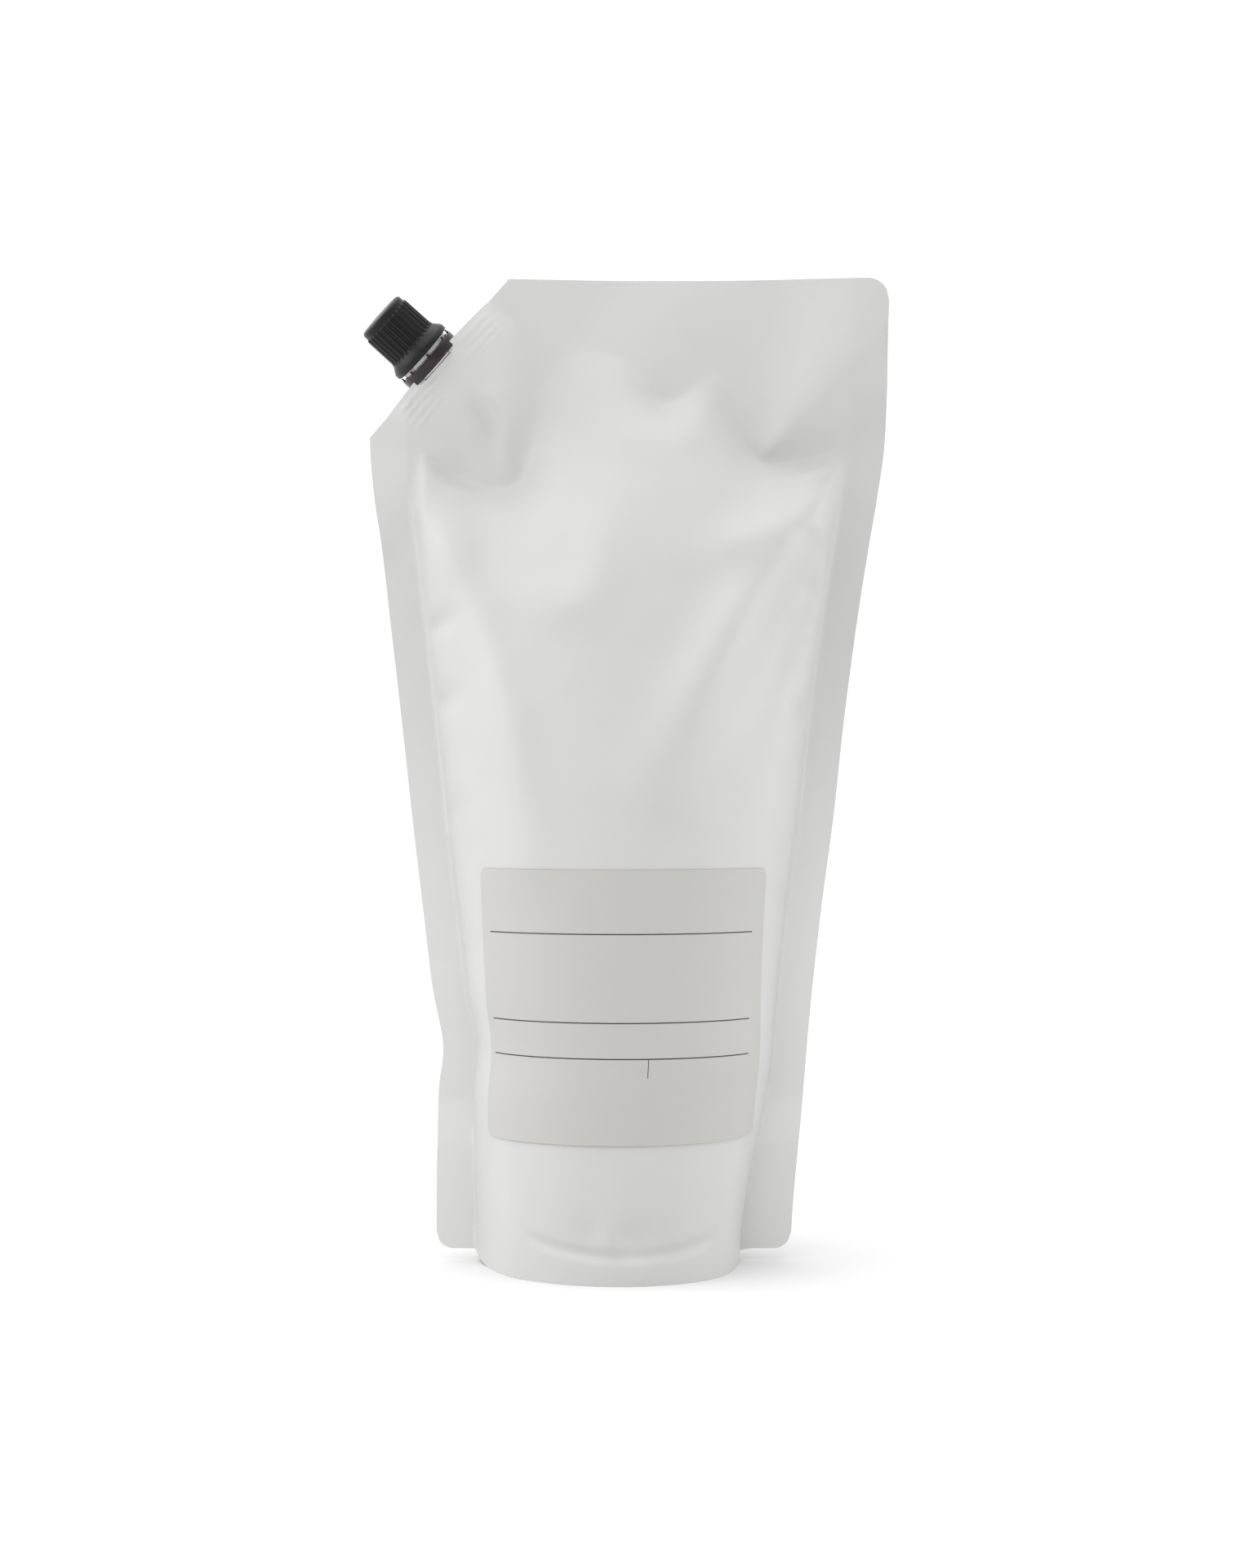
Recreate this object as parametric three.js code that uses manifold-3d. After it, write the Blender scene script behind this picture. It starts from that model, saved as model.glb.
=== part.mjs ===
// A one-litre stand-up refill pouch with a corner spout and a ribbed screw cap.
// Millimetres. +Z is up, the front faces -Y, and the origin is the middle of the base where the pack stands.
import * as THREE from "three";
import { mergeVertices } from "three/addons/utils/BufferGeometryUtils.js";
import Module from "manifold-3d";

const wasm = await Module();
wasm.setup();

// Driving dimensions of the film pouch.
const POUCH_WIDTH = 150; // flat width over both side seals
const POUCH_HEIGHT = 283; // from the floor to the top edge
const SIDE_SEAL = 10; // width of the sealed fin down each side
const FILM_PAIR = 0.6; // the two films welded face to face
const CORNER_CUT_ACROSS = 40; // the cut corner that takes the spout, along the top edge
const CORNER_CUT_DOWN = 45.6; // and down the left edge
const CORNER_RADIUS = 6.5; // the rounded corner opposite the spout
const FIN_LIFT = 3.4; // the fins' lower ends hang this far above the floor
const FIN_CORNER = 5; // radius of the fins' lower corners

// Where the left and the right edge of the standing pack are, at heights above the floor.
const LEFT_EDGE = [
  [0, -51.3],
  [22, -51.3],
  [36, -51],
  [50, -50.6],
  [62, -49.4],
  [78.5, -52.4],
  [100, -55],
  [128, -58.3],
  [156.5, -61.4],
  [185, -64.7],
  [206, -67.1],
  [220, -69.2],
  [236, -70.5],
  [283, -70.6],
];
const RIGHT_EDGE = [
  [0, 51],
  [15, 51.7],
  [43, 54.3],
  [71.5, 56.7],
  [100, 59.8],
  [128, 63.5],
  [156.5, 66.6],
  [185, 70.4],
  [206, 73.7],
  [220, 76.1],
  [236, 78.3],
  [260, 79],
  [283, 79.4],
];

// Near the floor the gusset's corners are welded into the fins, which makes the side seals wider.
const CORNER_SEAL_LEFT = 1.2;
const CORNER_SEAL_RIGHT = 5.5;
const CORNER_SEAL_HEIGHT = 60;
const BASE_SHIFT = 4; // and the round front of the base stands this far to the right

// Half the pack's thickness at its middle, at heights above the floor.
const BELLY = [
  [0, 43.1],
  [30, 42.4],
  [63, 40.4],
  [124, 34.7],
  [183, 27],
  [217, 20.5],
  [240, 15],
  [262, 10.5],
  [283, 7],
];

// Where front and back film part below the flat top flap, from the left side seal to the right one.
// Each point is a share of the half width between the seals, and a distance below the top edge.
const FILL_LINE = [
  [-1, 62],
  [-0.93, 50],
  [-0.86, 49],
  [-0.68, 59],
  [-0.52, 62],
  [-0.44, 57],
  [-0.41, 45],
  [-0.37, 31],
  [-0.25, 23],
  [-0.12, 21.5],
  [0.02, 24],
  [0.1, 29],
  [0.15, 38],
  [0.24, 35],
  [0.34, 28.5],
  [0.43, 29],
  [0.46, 41],
  [0.53, 52],
  [0.62, 54.5],
  [0.8, 53.5],
  [1, 50],
];
const FILL_RAMP = 46; // the film needs this far from the fill line to reach its full depth
const FILL_SOFTNESS = 3; // rounding where front and back film part
const FLAP_FOLD = [0.53, 52]; // deepest pinch right of the middle, where the flap's fold starts
const FLAP_FOLD_REACH = 40; // how far the flap bends forward beside that pinch
const FLAP_FOLD_RISE = 3.2;

// Long soft folds on the front: start, end, height and half width. Places are as in the fill line.
const FRONT_FOLDS = [
  { from: [0.96, 56], to: [0.1, 134], rise: 2.4, half: 13 },
  { from: [-0.88, 66], to: [-0.5, 134], rise: 1.8, half: 13 },
  { from: [0.15, 40], to: [0.2, 74], rise: -1.6, half: 9 },
  { from: [-0.3, 52], to: [-0.12, 92], rise: 1.6, half: 15 },
  { from: [0.62, 60], to: [0.66, 108], rise: -2.0, half: 9 },
];
const BACK_FOLDS = [
  { from: [-0.9, 60], to: [-0.25, 120], rise: 2.0, half: 14 },
  { from: [0.8, 66], to: [0.3, 140], rise: 2.2, half: 14 },
  { from: [-0.1, 44], to: [-0.12, 88], rise: -1.8, half: 11 },
];

// The base: the gusset is welded in along a skirt that stands on the floor.
const SKIRT_HEIGHT = 8.1;
const SKIRT_GROOVE = 0.9; // depth of the crease above the skirt
const SKIRT_THICKNESS = 1.2;
const GUSSET_RISE = 6.2; // how high the gusset runs inside the skirt
const GUSSET_SLOPE = 12; // distance from the skirt to where the gusset lies on the floor

// Label on the front.
const LABEL_WIDTH = 93;
const LABEL_HEIGHT = 75.4;
const LABEL_TOP = 113.8; // height of its top edge
const LABEL_OFFSET = 0.9; // its middle, measured round the film from the pouch's middle
const LABEL_THICKNESS = 0.3;
const LABEL_CORNER = 2;

// Spout: an 8.6 mm corner spout with a boat-shaped weld base.
const SPOUT_TILT = 13; // degrees that the spout's corner leans to the front
const TILT_REACH = 27; // the film leans with it over this distance from the cut edge
const SPOUT_DOWN = 2.2; // the spout's axis is this far below the middle of the cut edge
const SPOUT_SUNK = 0.7; // and the band starts this far inside the edge
const BORE_RADIUS = 4.3;
const NECK_WALL = 1.3;
const BOAT_HALF_LENGTH = 19.35;
const BOAT_HALF_THICKNESS = 6;
const BOAT_HEIGHT = 8.6;
const BOAT_DEPTH = 1.2; // the boat's top lies this far inside the cut edge
const BOAT_RIBS = 4;
const BOAT_RIB_HEIGHT = 1.2;
const BOAT_RIB_RISE = 0.5;
const BOAT_WALL = 1; // film and weld bead round the boat
const NECK_FLANGE_RADIUS = 8.3;
const NECK_FLANGE_HEIGHT = 0.9;
const NECK_FLANGE_GAP = 0.3; // from the cut edge to the flange
const NECK_BEAD_RISE = 0.6; // how far the bead overhangs the tamper band's lip
const NECK_BEAD_HEIGHT = 1.8;
const NECK_LENGTH = 18.6; // from the cut edge to the mouth
const CLEARANCE = 0.3; // between pieces that touch or slide

// Thread, the same on neck and cap.
const THREAD_PITCH = 3;
const THREAD_DEPTH = 0.7;
const THREAD_ROOT_HALF = 0.7;
const THREAD_CREST_HALF = 0.25;
const NECK_THREAD_TURNS = 1.5;
const CAP_THREAD_TURNS = 1;
const THREAD_TOP = 2; // from the mouth down to the thread's upper end

// Tamper band.
const BAND_HEIGHT = 3.4;
const BAND_WALL = 1.2;
const BAND_LIP_HEIGHT = 0.8;
const BAND_LIP_OVERHANG = 2.6; // how far the lip reaches in from the band's outside
const BAND_START = 0.5; // from the cut edge to the band
const BAND_GAP = 1.1; // between band and cap
const NIB_COUNT = 8;
const NIB_WIDTH = 0.9;
const NIB_DEPTH = 0.7;

// Cap.
const CAP_HEIGHT = 16.5;
const CAP_SKIRT_RADIUS = 9.9;
const CAP_BODY_RADIUS = 7.7;
const CAP_TAPER = 0.12; // the body is this much narrower at its top
const CAP_TOP_WALL = 1.3;
const CAP_EDGE_RADIUS = 1;
const CAP_SHOULDER_HEIGHT = 4.6;
const CAP_SKIRT_STRAIGHT = 0.9;
const CAP_SKIRT_WALL = 1.1;
const CAP_SKIRT_DEPTH = 3.4; // depth of the wide mouth inside the skirt
const RIB_COUNT = 28;
const RIB_RISE = 0.45;
const RIB_WIDTH = 0.95;
const RIB_TOP_GAP = 2.2; // plain rim above the ribs
const LINER_THICKNESS = 1;

// How finely the surfaces are divided.
const ROUND_SEGMENTS = 32;
const POUCH_COLUMNS = 30;
const FIN_COLUMNS = 2;
const POUCH_LOW_ROWS = 14;
const POUCH_HIGH_ROWS = 20;
const ROWS_START = 12; // height above the skirt from which all columns share their rows
const ROWS_CHANGE = 170; // height above which the rows become closer and follow the cut corner
const UNDERSIDE_STEPS = 6;

const HALF_WIDTH = POUCH_WIDTH / 2;
const HALF_FILM = HALF_WIDTH - SIDE_SEAL; // half the film between the side seals
const NECK_RADIUS = BORE_RADIUS + NECK_WALL;

const clamp = (v, low, high) => Math.min(high, Math.max(low, v));

function smooth(v, low, high) {
  const t = clamp((v - low) / (high - low), 0, 1);
  return t * t * (3 - 2 * t);
}

// A smooth curve through stations of [place, value].
function through(stations, at) {
  const last = stations.length - 1;
  const x = clamp(at, stations[0][0], stations[last][0]);
  let i = 0;
  while (i < last - 1 && x > stations[i + 1][0]) i++;
  const slope = (k) => {
    const a = Math.max(k - 1, 0);
    const b = Math.min(k + 1, last);
    return (stations[b][1] - stations[a][1]) / (stations[b][0] - stations[a][0]);
  };
  const [x0, y0] = stations[i];
  const [x1, y1] = stations[i + 1];
  const h = x1 - x0;
  const t = (x - x0) / h;
  return (
    y0 * (1 + 2 * t) * (1 - t) ** 2 +
    h * slope(i) * t * (1 - t) ** 2 +
    y1 * t * t * (3 - 2 * t) +
    h * slope(i + 1) * t * t * (t - 1)
  );
}

// A closed surface through closed loops that all have as many points.
function loft(loops) {
  const n = loops[0].length;
  const positions = loops.flat().flatMap((p) => [p.x, p.y, p.z]);
  const faces = [];
  for (let i = 0; i + 1 < loops.length; i++) {
    for (let j = 0; j < n; j++) {
      const a = i * n + j;
      const b = i * n + ((j + 1) % n);
      faces.push(a, b, b + n, a, b + n, a + n);
    }
  }
  for (const [base, turn] of [[0, true], [(loops.length - 1) * n, false]]) {
    for (let j = 0; j < n / 2 - 1; j++) {
      const quad = [base + j, base + j + 1, base + n - 2 - j, base + n - 1 - j];
      if (turn) quad.reverse();
      faces.push(quad[0], quad[1], quad[2], quad[0], quad[2], quad[3]);
    }
  }
  const geometry = new THREE.BufferGeometry();
  geometry.setAttribute("position", new THREE.Float32BufferAttribute(positions, 3));
  geometry.setIndex(faces);
  return geometry;
}

// A three.js geometry as a solid for cutting and joining.
function solid(geometry) {
  const bare = geometry.clone();
  bare.deleteAttribute("normal");
  bare.deleteAttribute("uv");
  const merged = mergeVertices(bare, 1e-4);
  const all = merged.index.array;
  const kept = [];
  for (let i = 0; i < all.length; i += 3) {
    const [a, b, c] = [all[i], all[i + 1], all[i + 2]];
    if (a !== b && b !== c && a !== c) kept.push(a, b, c);
  }
  const mesh = new wasm.Mesh({
    numProp: 3,
    vertProperties: new Float32Array(merged.attributes.position.array),
    triVerts: new Uint32Array(kept),
  });
  const made = new wasm.Manifold(mesh);
  if (made.volume() > 0) return made;
  for (let i = 0; i < kept.length; i += 3) [kept[i], kept[i + 1]] = [kept[i + 1], kept[i]];
  return new wasm.Manifold(
    new wasm.Mesh({ numProp: 3, vertProperties: mesh.vertProperties, triVerts: new Uint32Array(kept) }),
  );
}

function geometryOf(made) {
  const { vertProperties, triVerts } = made.getMesh();
  const geometry = new THREE.BufferGeometry();
  geometry.setAttribute("position", new THREE.BufferAttribute(new Float32Array(vertProperties), 3));
  geometry.setIndex(new THREE.BufferAttribute(new Uint32Array(triVerts), 1));
  geometry.computeVertexNormals();
  return geometry;
}

// A turned solid from [radius, height] points that start and end on the axis or close on themselves.
function turned(points, segments = ROUND_SEGMENTS) {
  const lathe = new THREE.LatheGeometry(
    points.map(([r, h]) => new THREE.Vector2(r, h)),
    segments,
  );
  lathe.rotateX(Math.PI / 2);
  return solid(lathe);
}

// Height of the flat outline's top and bottom edge, across the film.
function topEdge(s) {
  const cut = (s + HALF_WIDTH) / CORNER_CUT_ACROSS;
  if (cut < 1) return POUCH_HEIGHT - CORNER_CUT_DOWN * (1 - cut);
  const in_ = Math.max(0, s - (HALF_WIDTH - CORNER_RADIUS));
  return POUCH_HEIGHT - CORNER_RADIUS + Math.sqrt(Math.max(0, CORNER_RADIUS ** 2 - in_ ** 2));
}

function bottomEdge(s) {
  const lifted = FIN_LIFT * smooth(Math.abs(s), HALF_FILM * 0.86, HALF_FILM);
  const in_ = Math.max(0, Math.abs(s) - (HALF_WIDTH - FIN_CORNER));
  return lifted + FIN_CORNER - Math.sqrt(Math.max(0, FIN_CORNER ** 2 - in_ ** 2));
}

// A place on the film, from a share of its half width and a distance below the top edge.
const onFilm = ([share, below]) => new THREE.Vector2(share * HALF_FILM, POUCH_HEIGHT - below);

const fillPoints = FILL_LINE.map(onFilm);
const fillCurve = new THREE.SplineCurve(fillPoints).getPoints(3 * FILL_LINE.length);

// Distance from a place below the fill line to the line, or 0 above it.
function belowFill(s, z) {
  let nearest = Infinity;
  let line = -Infinity;
  for (let i = 0; i + 1 < fillCurve.length; i++) {
    const a = fillCurve[i];
    const b = fillCurve[i + 1];
    const dx = b.x - a.x;
    const dz = b.y - a.y;
    const t = clamp(((s - a.x) * dx + (z - a.y) * dz) / (dx * dx + dz * dz), 0, 1);
    nearest = Math.min(nearest, Math.hypot(s - a.x - t * dx, z - a.y - t * dz));
    if (s >= a.x && s <= b.x) line = a.y + ((s - a.x) / Math.max(dx, 1e-6)) * dz;
  }
  if (line === -Infinity) line = s < 0 ? fillCurve[0].y : fillCurve[fillCurve.length - 1].y;
  return z < line ? nearest : 0;
}

// How full the pack is at a place, from 0 where the films touch to 1.
function fullness(s, z) {
  const d = belowFill(s, z);
  const soft = Math.sqrt(d * d + FILL_SOFTNESS ** 2) - FILL_SOFTNESS;
  return 1 - (1 - Math.min(soft / FILL_RAMP, 1)) ** 2;
}

// The half angle of the arc whose chord is this share of its length.
function arcAngle(share) {
  let low = 1e-3;
  let high = Math.PI;
  for (let i = 0; i < 40; i++) {
    const mid = (low + high) / 2;
    if (Math.sin(mid) / mid > share) low = mid;
    else high = mid;
  }
  return (low + high) / 2;
}

// Places beside the cut corner: t runs along the cut edge from its middle, q runs inwards from it.
const cutLength = Math.hypot(CORNER_CUT_ACROSS, CORNER_CUT_DOWN);
const cutAlong = new THREE.Vector2(CORNER_CUT_ACROSS / cutLength, CORNER_CUT_DOWN / cutLength);
const cutMiddle = new THREE.Vector2(
  CORNER_CUT_ACROSS / 2 - HALF_WIDTH,
  POUCH_HEIGHT - CORNER_CUT_DOWN / 2,
);
function besideCut(s, z) {
  const dx = s - cutMiddle.x;
  const dz = z - cutMiddle.y;
  return { t: dx * cutAlong.x + dz * cutAlong.y, q: dx * cutAlong.y - dz * cutAlong.x };
}

const lens = (t, half, thickness) => thickness * Math.max(0, 1 - (t / half) ** 2);

// Half the thickness that the boat and the funnel below it give the film.
const funnelTip = besideCut(onFilm([-0.49, 61]).x, onFilm([-0.49, 61]).y);
function aroundBoat(s, z) {
  const { t, q } = besideCut(s, z);
  const half = BOAT_HALF_LENGTH + 3;
  const thick = BOAT_HALF_THICKNESS + BOAT_WALL;
  const inner = BOAT_DEPTH + BOAT_HEIGHT + 2 * CLEARANCE;
  if (q <= inner) return lens(t, half, thick);
  const share = (funnelTip.q - q) / (funnelTip.q - inner);
  if (share <= 0) return 0;
  const base = funnelTip.t + (t - funnelTip.t) / share;
  return lens(base, half, thick) * share;
}

// How far a place has leaned with the spout's corner, measured along the film.
function leaned(s, z) {
  const soft = 5;
  const into = Math.max(0, TILT_REACH - besideCut(s, z).q);
  return into > soft ? into - soft / 2 : into ** 2 / (2 * soft);
}

const tilt = THREE.MathUtils.degToRad(SPOUT_TILT);

// How far the middle of the flap stands to the front.
function forward(s, z) {
  const pinch = onFilm(FLAP_FOLD);
  const up = z - pinch.y;
  const across = Math.hypot((s - pinch.x - up * 0.5) / FLAP_FOLD_REACH, (up - 16) / 20);
  return Math.sin(tilt) * leaned(s, z) + FLAP_FOLD_RISE * Math.exp(-across * across * 2);
}

// Height of the soft folds of one side.
function folds(list, s, z) {
  let sum = 0;
  for (const { from, to, rise, half } of list) {
    const a = onFilm(from);
    const b = onFilm(to);
    const dx = b.x - a.x;
    const dz = b.y - a.y;
    const t = ((s - a.x) * dx + (z - a.y) * dz) / (dx * dx + dz * dz);
    const on = clamp(t, 0, 1);
    const off = Math.hypot(s - a.x - on * dx, z - a.y - on * dz) / half;
    sum += rise * Math.exp(-2 * off * off) * (1 - 0.5 * on);
  }
  return sum;
}

// A point of the film: s runs round the film from its middle, z is its height, side is -1 for the front.
function film(s, z, side) {
  const low = 1 - smooth(z, 0, CORNER_SEAL_HEIGHT);
  const sealLeft = SIDE_SEAL + CORNER_SEAL_LEFT * low;
  const sealRight = SIDE_SEAL + CORNER_SEAL_RIGHT * low;
  const left = through(LEFT_EDGE, z) + sealLeft;
  const right = through(RIGHT_EDGE, z) - sealRight;
  const chord = (right - left) / 2;
  const half = HALF_WIDTH - (sealLeft + sealRight) / 2;
  const inside = clamp(s, sealLeft - HALF_WIDTH, HALF_WIDTH - sealRight);
  const share = (inside - (sealLeft - sealRight) / 2) / half;
  const phi = arcAngle(chord / half);
  const bow = (chord * Math.sin(share * phi)) / Math.sin(phi) + BASE_SHIFT * low * (1 - share ** 2);
  const arch = (Math.cos(share * phi) - Math.cos(phi)) / (1 - Math.cos(phi));
  const full = fullness(s, z);
  let depth = through(BELLY, z) * arch * full;
  depth += folds(side < 0 ? FRONT_FOLDS : BACK_FOLDS, s, z) * full * smooth(arch, 0, 0.3);
  const crease = Math.exp(-(((z - SKIRT_HEIGHT) / 1.6) ** 2)) * smooth(arch, 0.35, 0.7);
  depth -= SKIRT_GROOVE * crease;
  depth = Math.max(depth, aroundBoat(s, z), 0) + FILM_PAIR / 2;
  const drawn = (1 - Math.cos(tilt)) * leaned(s, z);
  return new THREE.Vector3(
    (left + right) / 2 + bow + (s - inside) + cutAlong.y * drawn,
    side * depth - forward(s, z),
    z - cutAlong.x * drawn,
  );
}

// Columns across the film: a few on each fin, the rest between the seals.
function columns() {
  const places = [];
  for (let k = 0; k <= FIN_COLUMNS; k++) places.push(-HALF_WIDTH + (SIDE_SEAL * k) / FIN_COLUMNS);
  for (let k = 1; k < POUCH_COLUMNS; k++) {
    const share = (2 * k) / POUCH_COLUMNS - 1;
    places.push(HALF_FILM * (0.8 * share + 0.2 * Math.sin((share * Math.PI) / 2)));
  }
  for (let k = FIN_COLUMNS; k >= 0; k--) places.push(HALF_WIDTH - (SIDE_SEAL * k) / FIN_COLUMNS);
  return places;
}

// Heights of the points up one column: close over the skirt, then shared by all, then up to the edge.
function rows(low, high) {
  const between = (from, to, count) =>
    Array.from({ length: count }, (_, k) => from + ((to - from) * k) / count);
  const skirt = [low, Math.max(low, SKIRT_HEIGHT / 2), Math.max(low, SKIRT_HEIGHT)];
  const shared = between(ROWS_START, ROWS_CHANGE, POUCH_LOW_ROWS);
  return [...skirt, ...shared, ...between(ROWS_CHANGE, high, POUCH_HIGH_ROWS), high];
}

// The gusset's underside between the front and back edge of one column.
function underside(s, front, back) {
  const span = back.y - front.y;
  const half = span / 2;
  if (Math.abs(s) >= HALF_FILM) return [];
  const rise = GUSSET_RISE * smooth(half, SKIRT_THICKNESS, GUSSET_SLOPE);
  const stops = [[SKIRT_THICKNESS, 0], [SKIRT_THICKNESS * 1.4, 1]];
  for (let k = 1; k <= UNDERSIDE_STEPS; k++) {
    const share = k / UNDERSIDE_STEPS;
    const height = 0.5 + 0.5 * Math.cos(Math.PI * share);
    stops.push([SKIRT_THICKNESS * 1.4 + GUSSET_SLOPE * share, height]);
  }
  const near = stops.map(([run, height], k) => {
    const most = (half * (k + 1)) / (stops.length + 1);
    return [Math.min(run, most), run <= most ? height : height * (most / run)];
  });
  const point = (run, height, from, sign) =>
    new THREE.Vector3(front.x, from.y + sign * run, from.z + rise * height);
  return [
    ...near.map(([run, height]) => point(run, height, front, 1)),
    ...near.reverse().map(([run, height]) => point(run, height, back, -1)),
  ];
}

// The sealed pouch with its contents, as one body with the form of the filled pack.
function makePouch() {
  const loops = columns().map((s) => {
    const heights = rows(bottomEdge(s), topEdge(s));
    const front = heights.map((z) => film(s, z, -1)).reverse();
    const back = heights.map((z) => film(s, z, 1));
    const base = underside(s, front[front.length - 1], back[0]);
    const count = 2 * (UNDERSIDE_STEPS + 2);
    const filler = Array.from({ length: count }, (_, k) =>
      k < count / 2 ? front[front.length - 1] : back[0],
    );
    return [...front, ...(base.length ? base : filler), ...back];
  });
  return solid(loft(loops));
}

// The label: a thin sheet that follows the front film, with points at the film's own rows and columns.
function makeLabel() {
  const high = LABEL_TOP;
  const low = high - LABEL_HEIGHT;
  const left = LABEL_OFFSET - LABEL_WIDTH / 2;
  const right = LABEL_OFFSET + LABEL_WIDTH / 2;
  const within = (list, a, b) => [a, ...list.filter((v) => v > a && v < b), b];
  const ends = [left + LABEL_CORNER * 0.3, left + LABEL_CORNER, right - LABEL_CORNER, right - LABEL_CORNER * 0.3];
  const places = within([...columns(), ...ends].sort((a, b) => a - b), left, right);
  const offset = (s, z, away) => {
    const p = film(s, z, -1);
    const across = film(s + 0.5, z, -1).sub(film(s - 0.5, z, -1));
    const rise = film(s, z + 0.5, -1).sub(film(s, z - 0.5, -1));
    return p.add(across.cross(rise).normalize().multiplyScalar(away));
  };
  const loops = places.map((s) => {
    const in_ = Math.max(0, left + LABEL_CORNER - s, s - right + LABEL_CORNER);
    const short = LABEL_CORNER - Math.sqrt(Math.max(0, LABEL_CORNER ** 2 - in_ ** 2));
    const shared = rows(0, POUCH_HEIGHT).filter((z) => z > low + LABEL_CORNER && z < high - LABEL_CORNER);
    const heights = [low + short, ...shared, high - short];
    return [
      ...heights.map((z) => offset(s, z, CLEARANCE + LABEL_THICKNESS)),
      ...heights.map((z) => offset(s, z, CLEARANCE)).reverse(),
    ];
  });
  return solid(loft(loops));
}

// A plate with the boat's pointed outline, from height low to height high.
function boatPlate(half, thickness, low, high) {
  const steps = 8;
  const outline = new THREE.Shape();
  outline.moveTo(-half, 0);
  for (let k = 1; k <= steps; k++) {
    const t = half * ((2 * k) / steps - 1);
    outline.lineTo(t, -lens(t, half, thickness));
  }
  for (let k = steps - 1; k > 0; k--) {
    const t = half * ((2 * k) / steps - 1);
    outline.lineTo(t, lens(t, half, thickness));
  }
  const plate = new THREE.ExtrudeGeometry(outline, { depth: high - low, bevelEnabled: false });
  plate.translate(0, 0, low);
  return solid(plate);
}

// A helical ridge on a wall: outwards on the neck, inwards in the cap.
function thread(wall, outwards, start, turns) {
  const perTurn = 16;
  const count = Math.round(turns * perTurn);
  const sunk = 0.3;
  const sign = outwards ? 1 : -1;
  const loops = [];
  for (let k = 0; k <= count; k++) {
    const angle = (2 * Math.PI * k) / perTurn;
    const height = start + (THREAD_PITCH * k) / perTurn;
    const grown = smooth(Math.min(k, count - k), -1, 4);
    const crest = wall + sign * THREAD_DEPTH * grown;
    const root = wall - sign * sunk;
    const point = (r, off) => new THREE.Vector3(r * Math.cos(angle), r * Math.sin(angle), height + off);
    loops.push([
      point(root, -THREAD_ROOT_HALF),
      point(crest, -THREAD_CREST_HALF),
      point(crest, THREAD_CREST_HALF),
      point(root, THREAD_ROOT_HALF),
    ]);
  }
  return solid(loft(loops));
}

// Heights along the spout's axis, measured from the cut edge.
const bandLip = CAP_SKIRT_RADIUS - BAND_LIP_OVERHANG; // radius inside the band's lip
const flangeTop = NECK_FLANGE_GAP + NECK_FLANGE_HEIGHT;
const lipLow = flangeTop + CLEARANCE;
const lipHigh = lipLow + BAND_LIP_HEIGHT;
const beadLow = lipHigh + CLEARANCE;
const beadHigh = beadLow + NECK_BEAD_HEIGHT;
const beadRadius = bandLip + NECK_BEAD_RISE;
const capStart = BAND_START + BAND_HEIGHT + BAND_GAP;
const capInner = NECK_RADIUS + THREAD_DEPTH + CLEARANCE;
const neckThreadStart = NECK_LENGTH - THREAD_TOP - NECK_THREAD_TURNS * THREAD_PITCH;

// The moulded spout: boat, flange, bead, threaded neck and bore.
function makeSpout() {
  const boatTop = -BOAT_DEPTH;
  const boatLow = boatTop - BOAT_HEIGHT;
  let made = boatPlate(
    BOAT_HALF_LENGTH - 2 * BOAT_RIB_RISE,
    BOAT_HALF_THICKNESS - BOAT_RIB_RISE,
    boatLow,
    boatTop,
  );
  const step = (BOAT_HEIGHT - BOAT_RIB_HEIGHT) / (BOAT_RIBS - 1);
  for (let k = 0; k < BOAT_RIBS; k++) {
    const low = boatLow + k * step;
    made = made.add(boatPlate(BOAT_HALF_LENGTH, BOAT_HALF_THICKNESS, low, low + BOAT_RIB_HEIGHT));
  }
  const edge = 0.4;
  made = made.add(
    turned([
      [0, boatTop - 1],
      [NECK_RADIUS, boatTop - 1],
      [NECK_RADIUS, NECK_FLANGE_GAP],
      [NECK_FLANGE_RADIUS, NECK_FLANGE_GAP],
      [NECK_FLANGE_RADIUS, flangeTop],
      [NECK_RADIUS + edge, flangeTop],
      [NECK_RADIUS + edge, beadLow],
      [beadRadius, beadLow],
      [beadRadius, beadHigh - edge],
      [beadRadius - 2 * edge, beadHigh],
      [NECK_RADIUS, beadHigh + edge],
      [NECK_RADIUS, NECK_LENGTH - edge],
      [NECK_RADIUS - edge, NECK_LENGTH],
      [0, NECK_LENGTH],
    ]),
  );
  made = made.add(thread(NECK_RADIUS, true, neckThreadStart, NECK_THREAD_TURNS));
  const bore = [[0, boatLow - 1], [BORE_RADIUS, boatLow - 1], [BORE_RADIUS, NECK_LENGTH + 1], [0, NECK_LENGTH + 1]];
  return made.subtract(turned(bore));
}

// What the pouch has to leave free: the boat's pocket, and the place of the flange and the band.
function boatPocket() {
  const low = -BOAT_DEPTH - BOAT_HEIGHT - CLEARANCE;
  const high = CAP_HEIGHT;
  const pocket = boatPlate(BOAT_HALF_LENGTH + 2 * CLEARANCE, BOAT_HALF_THICKNESS + CLEARANCE, low, high);
  const radius = CAP_SKIRT_RADIUS + CLEARANCE;
  return pocket.add(turned([[0, 0], [radius, 0], [radius, high], [0, high]]));
}

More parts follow.
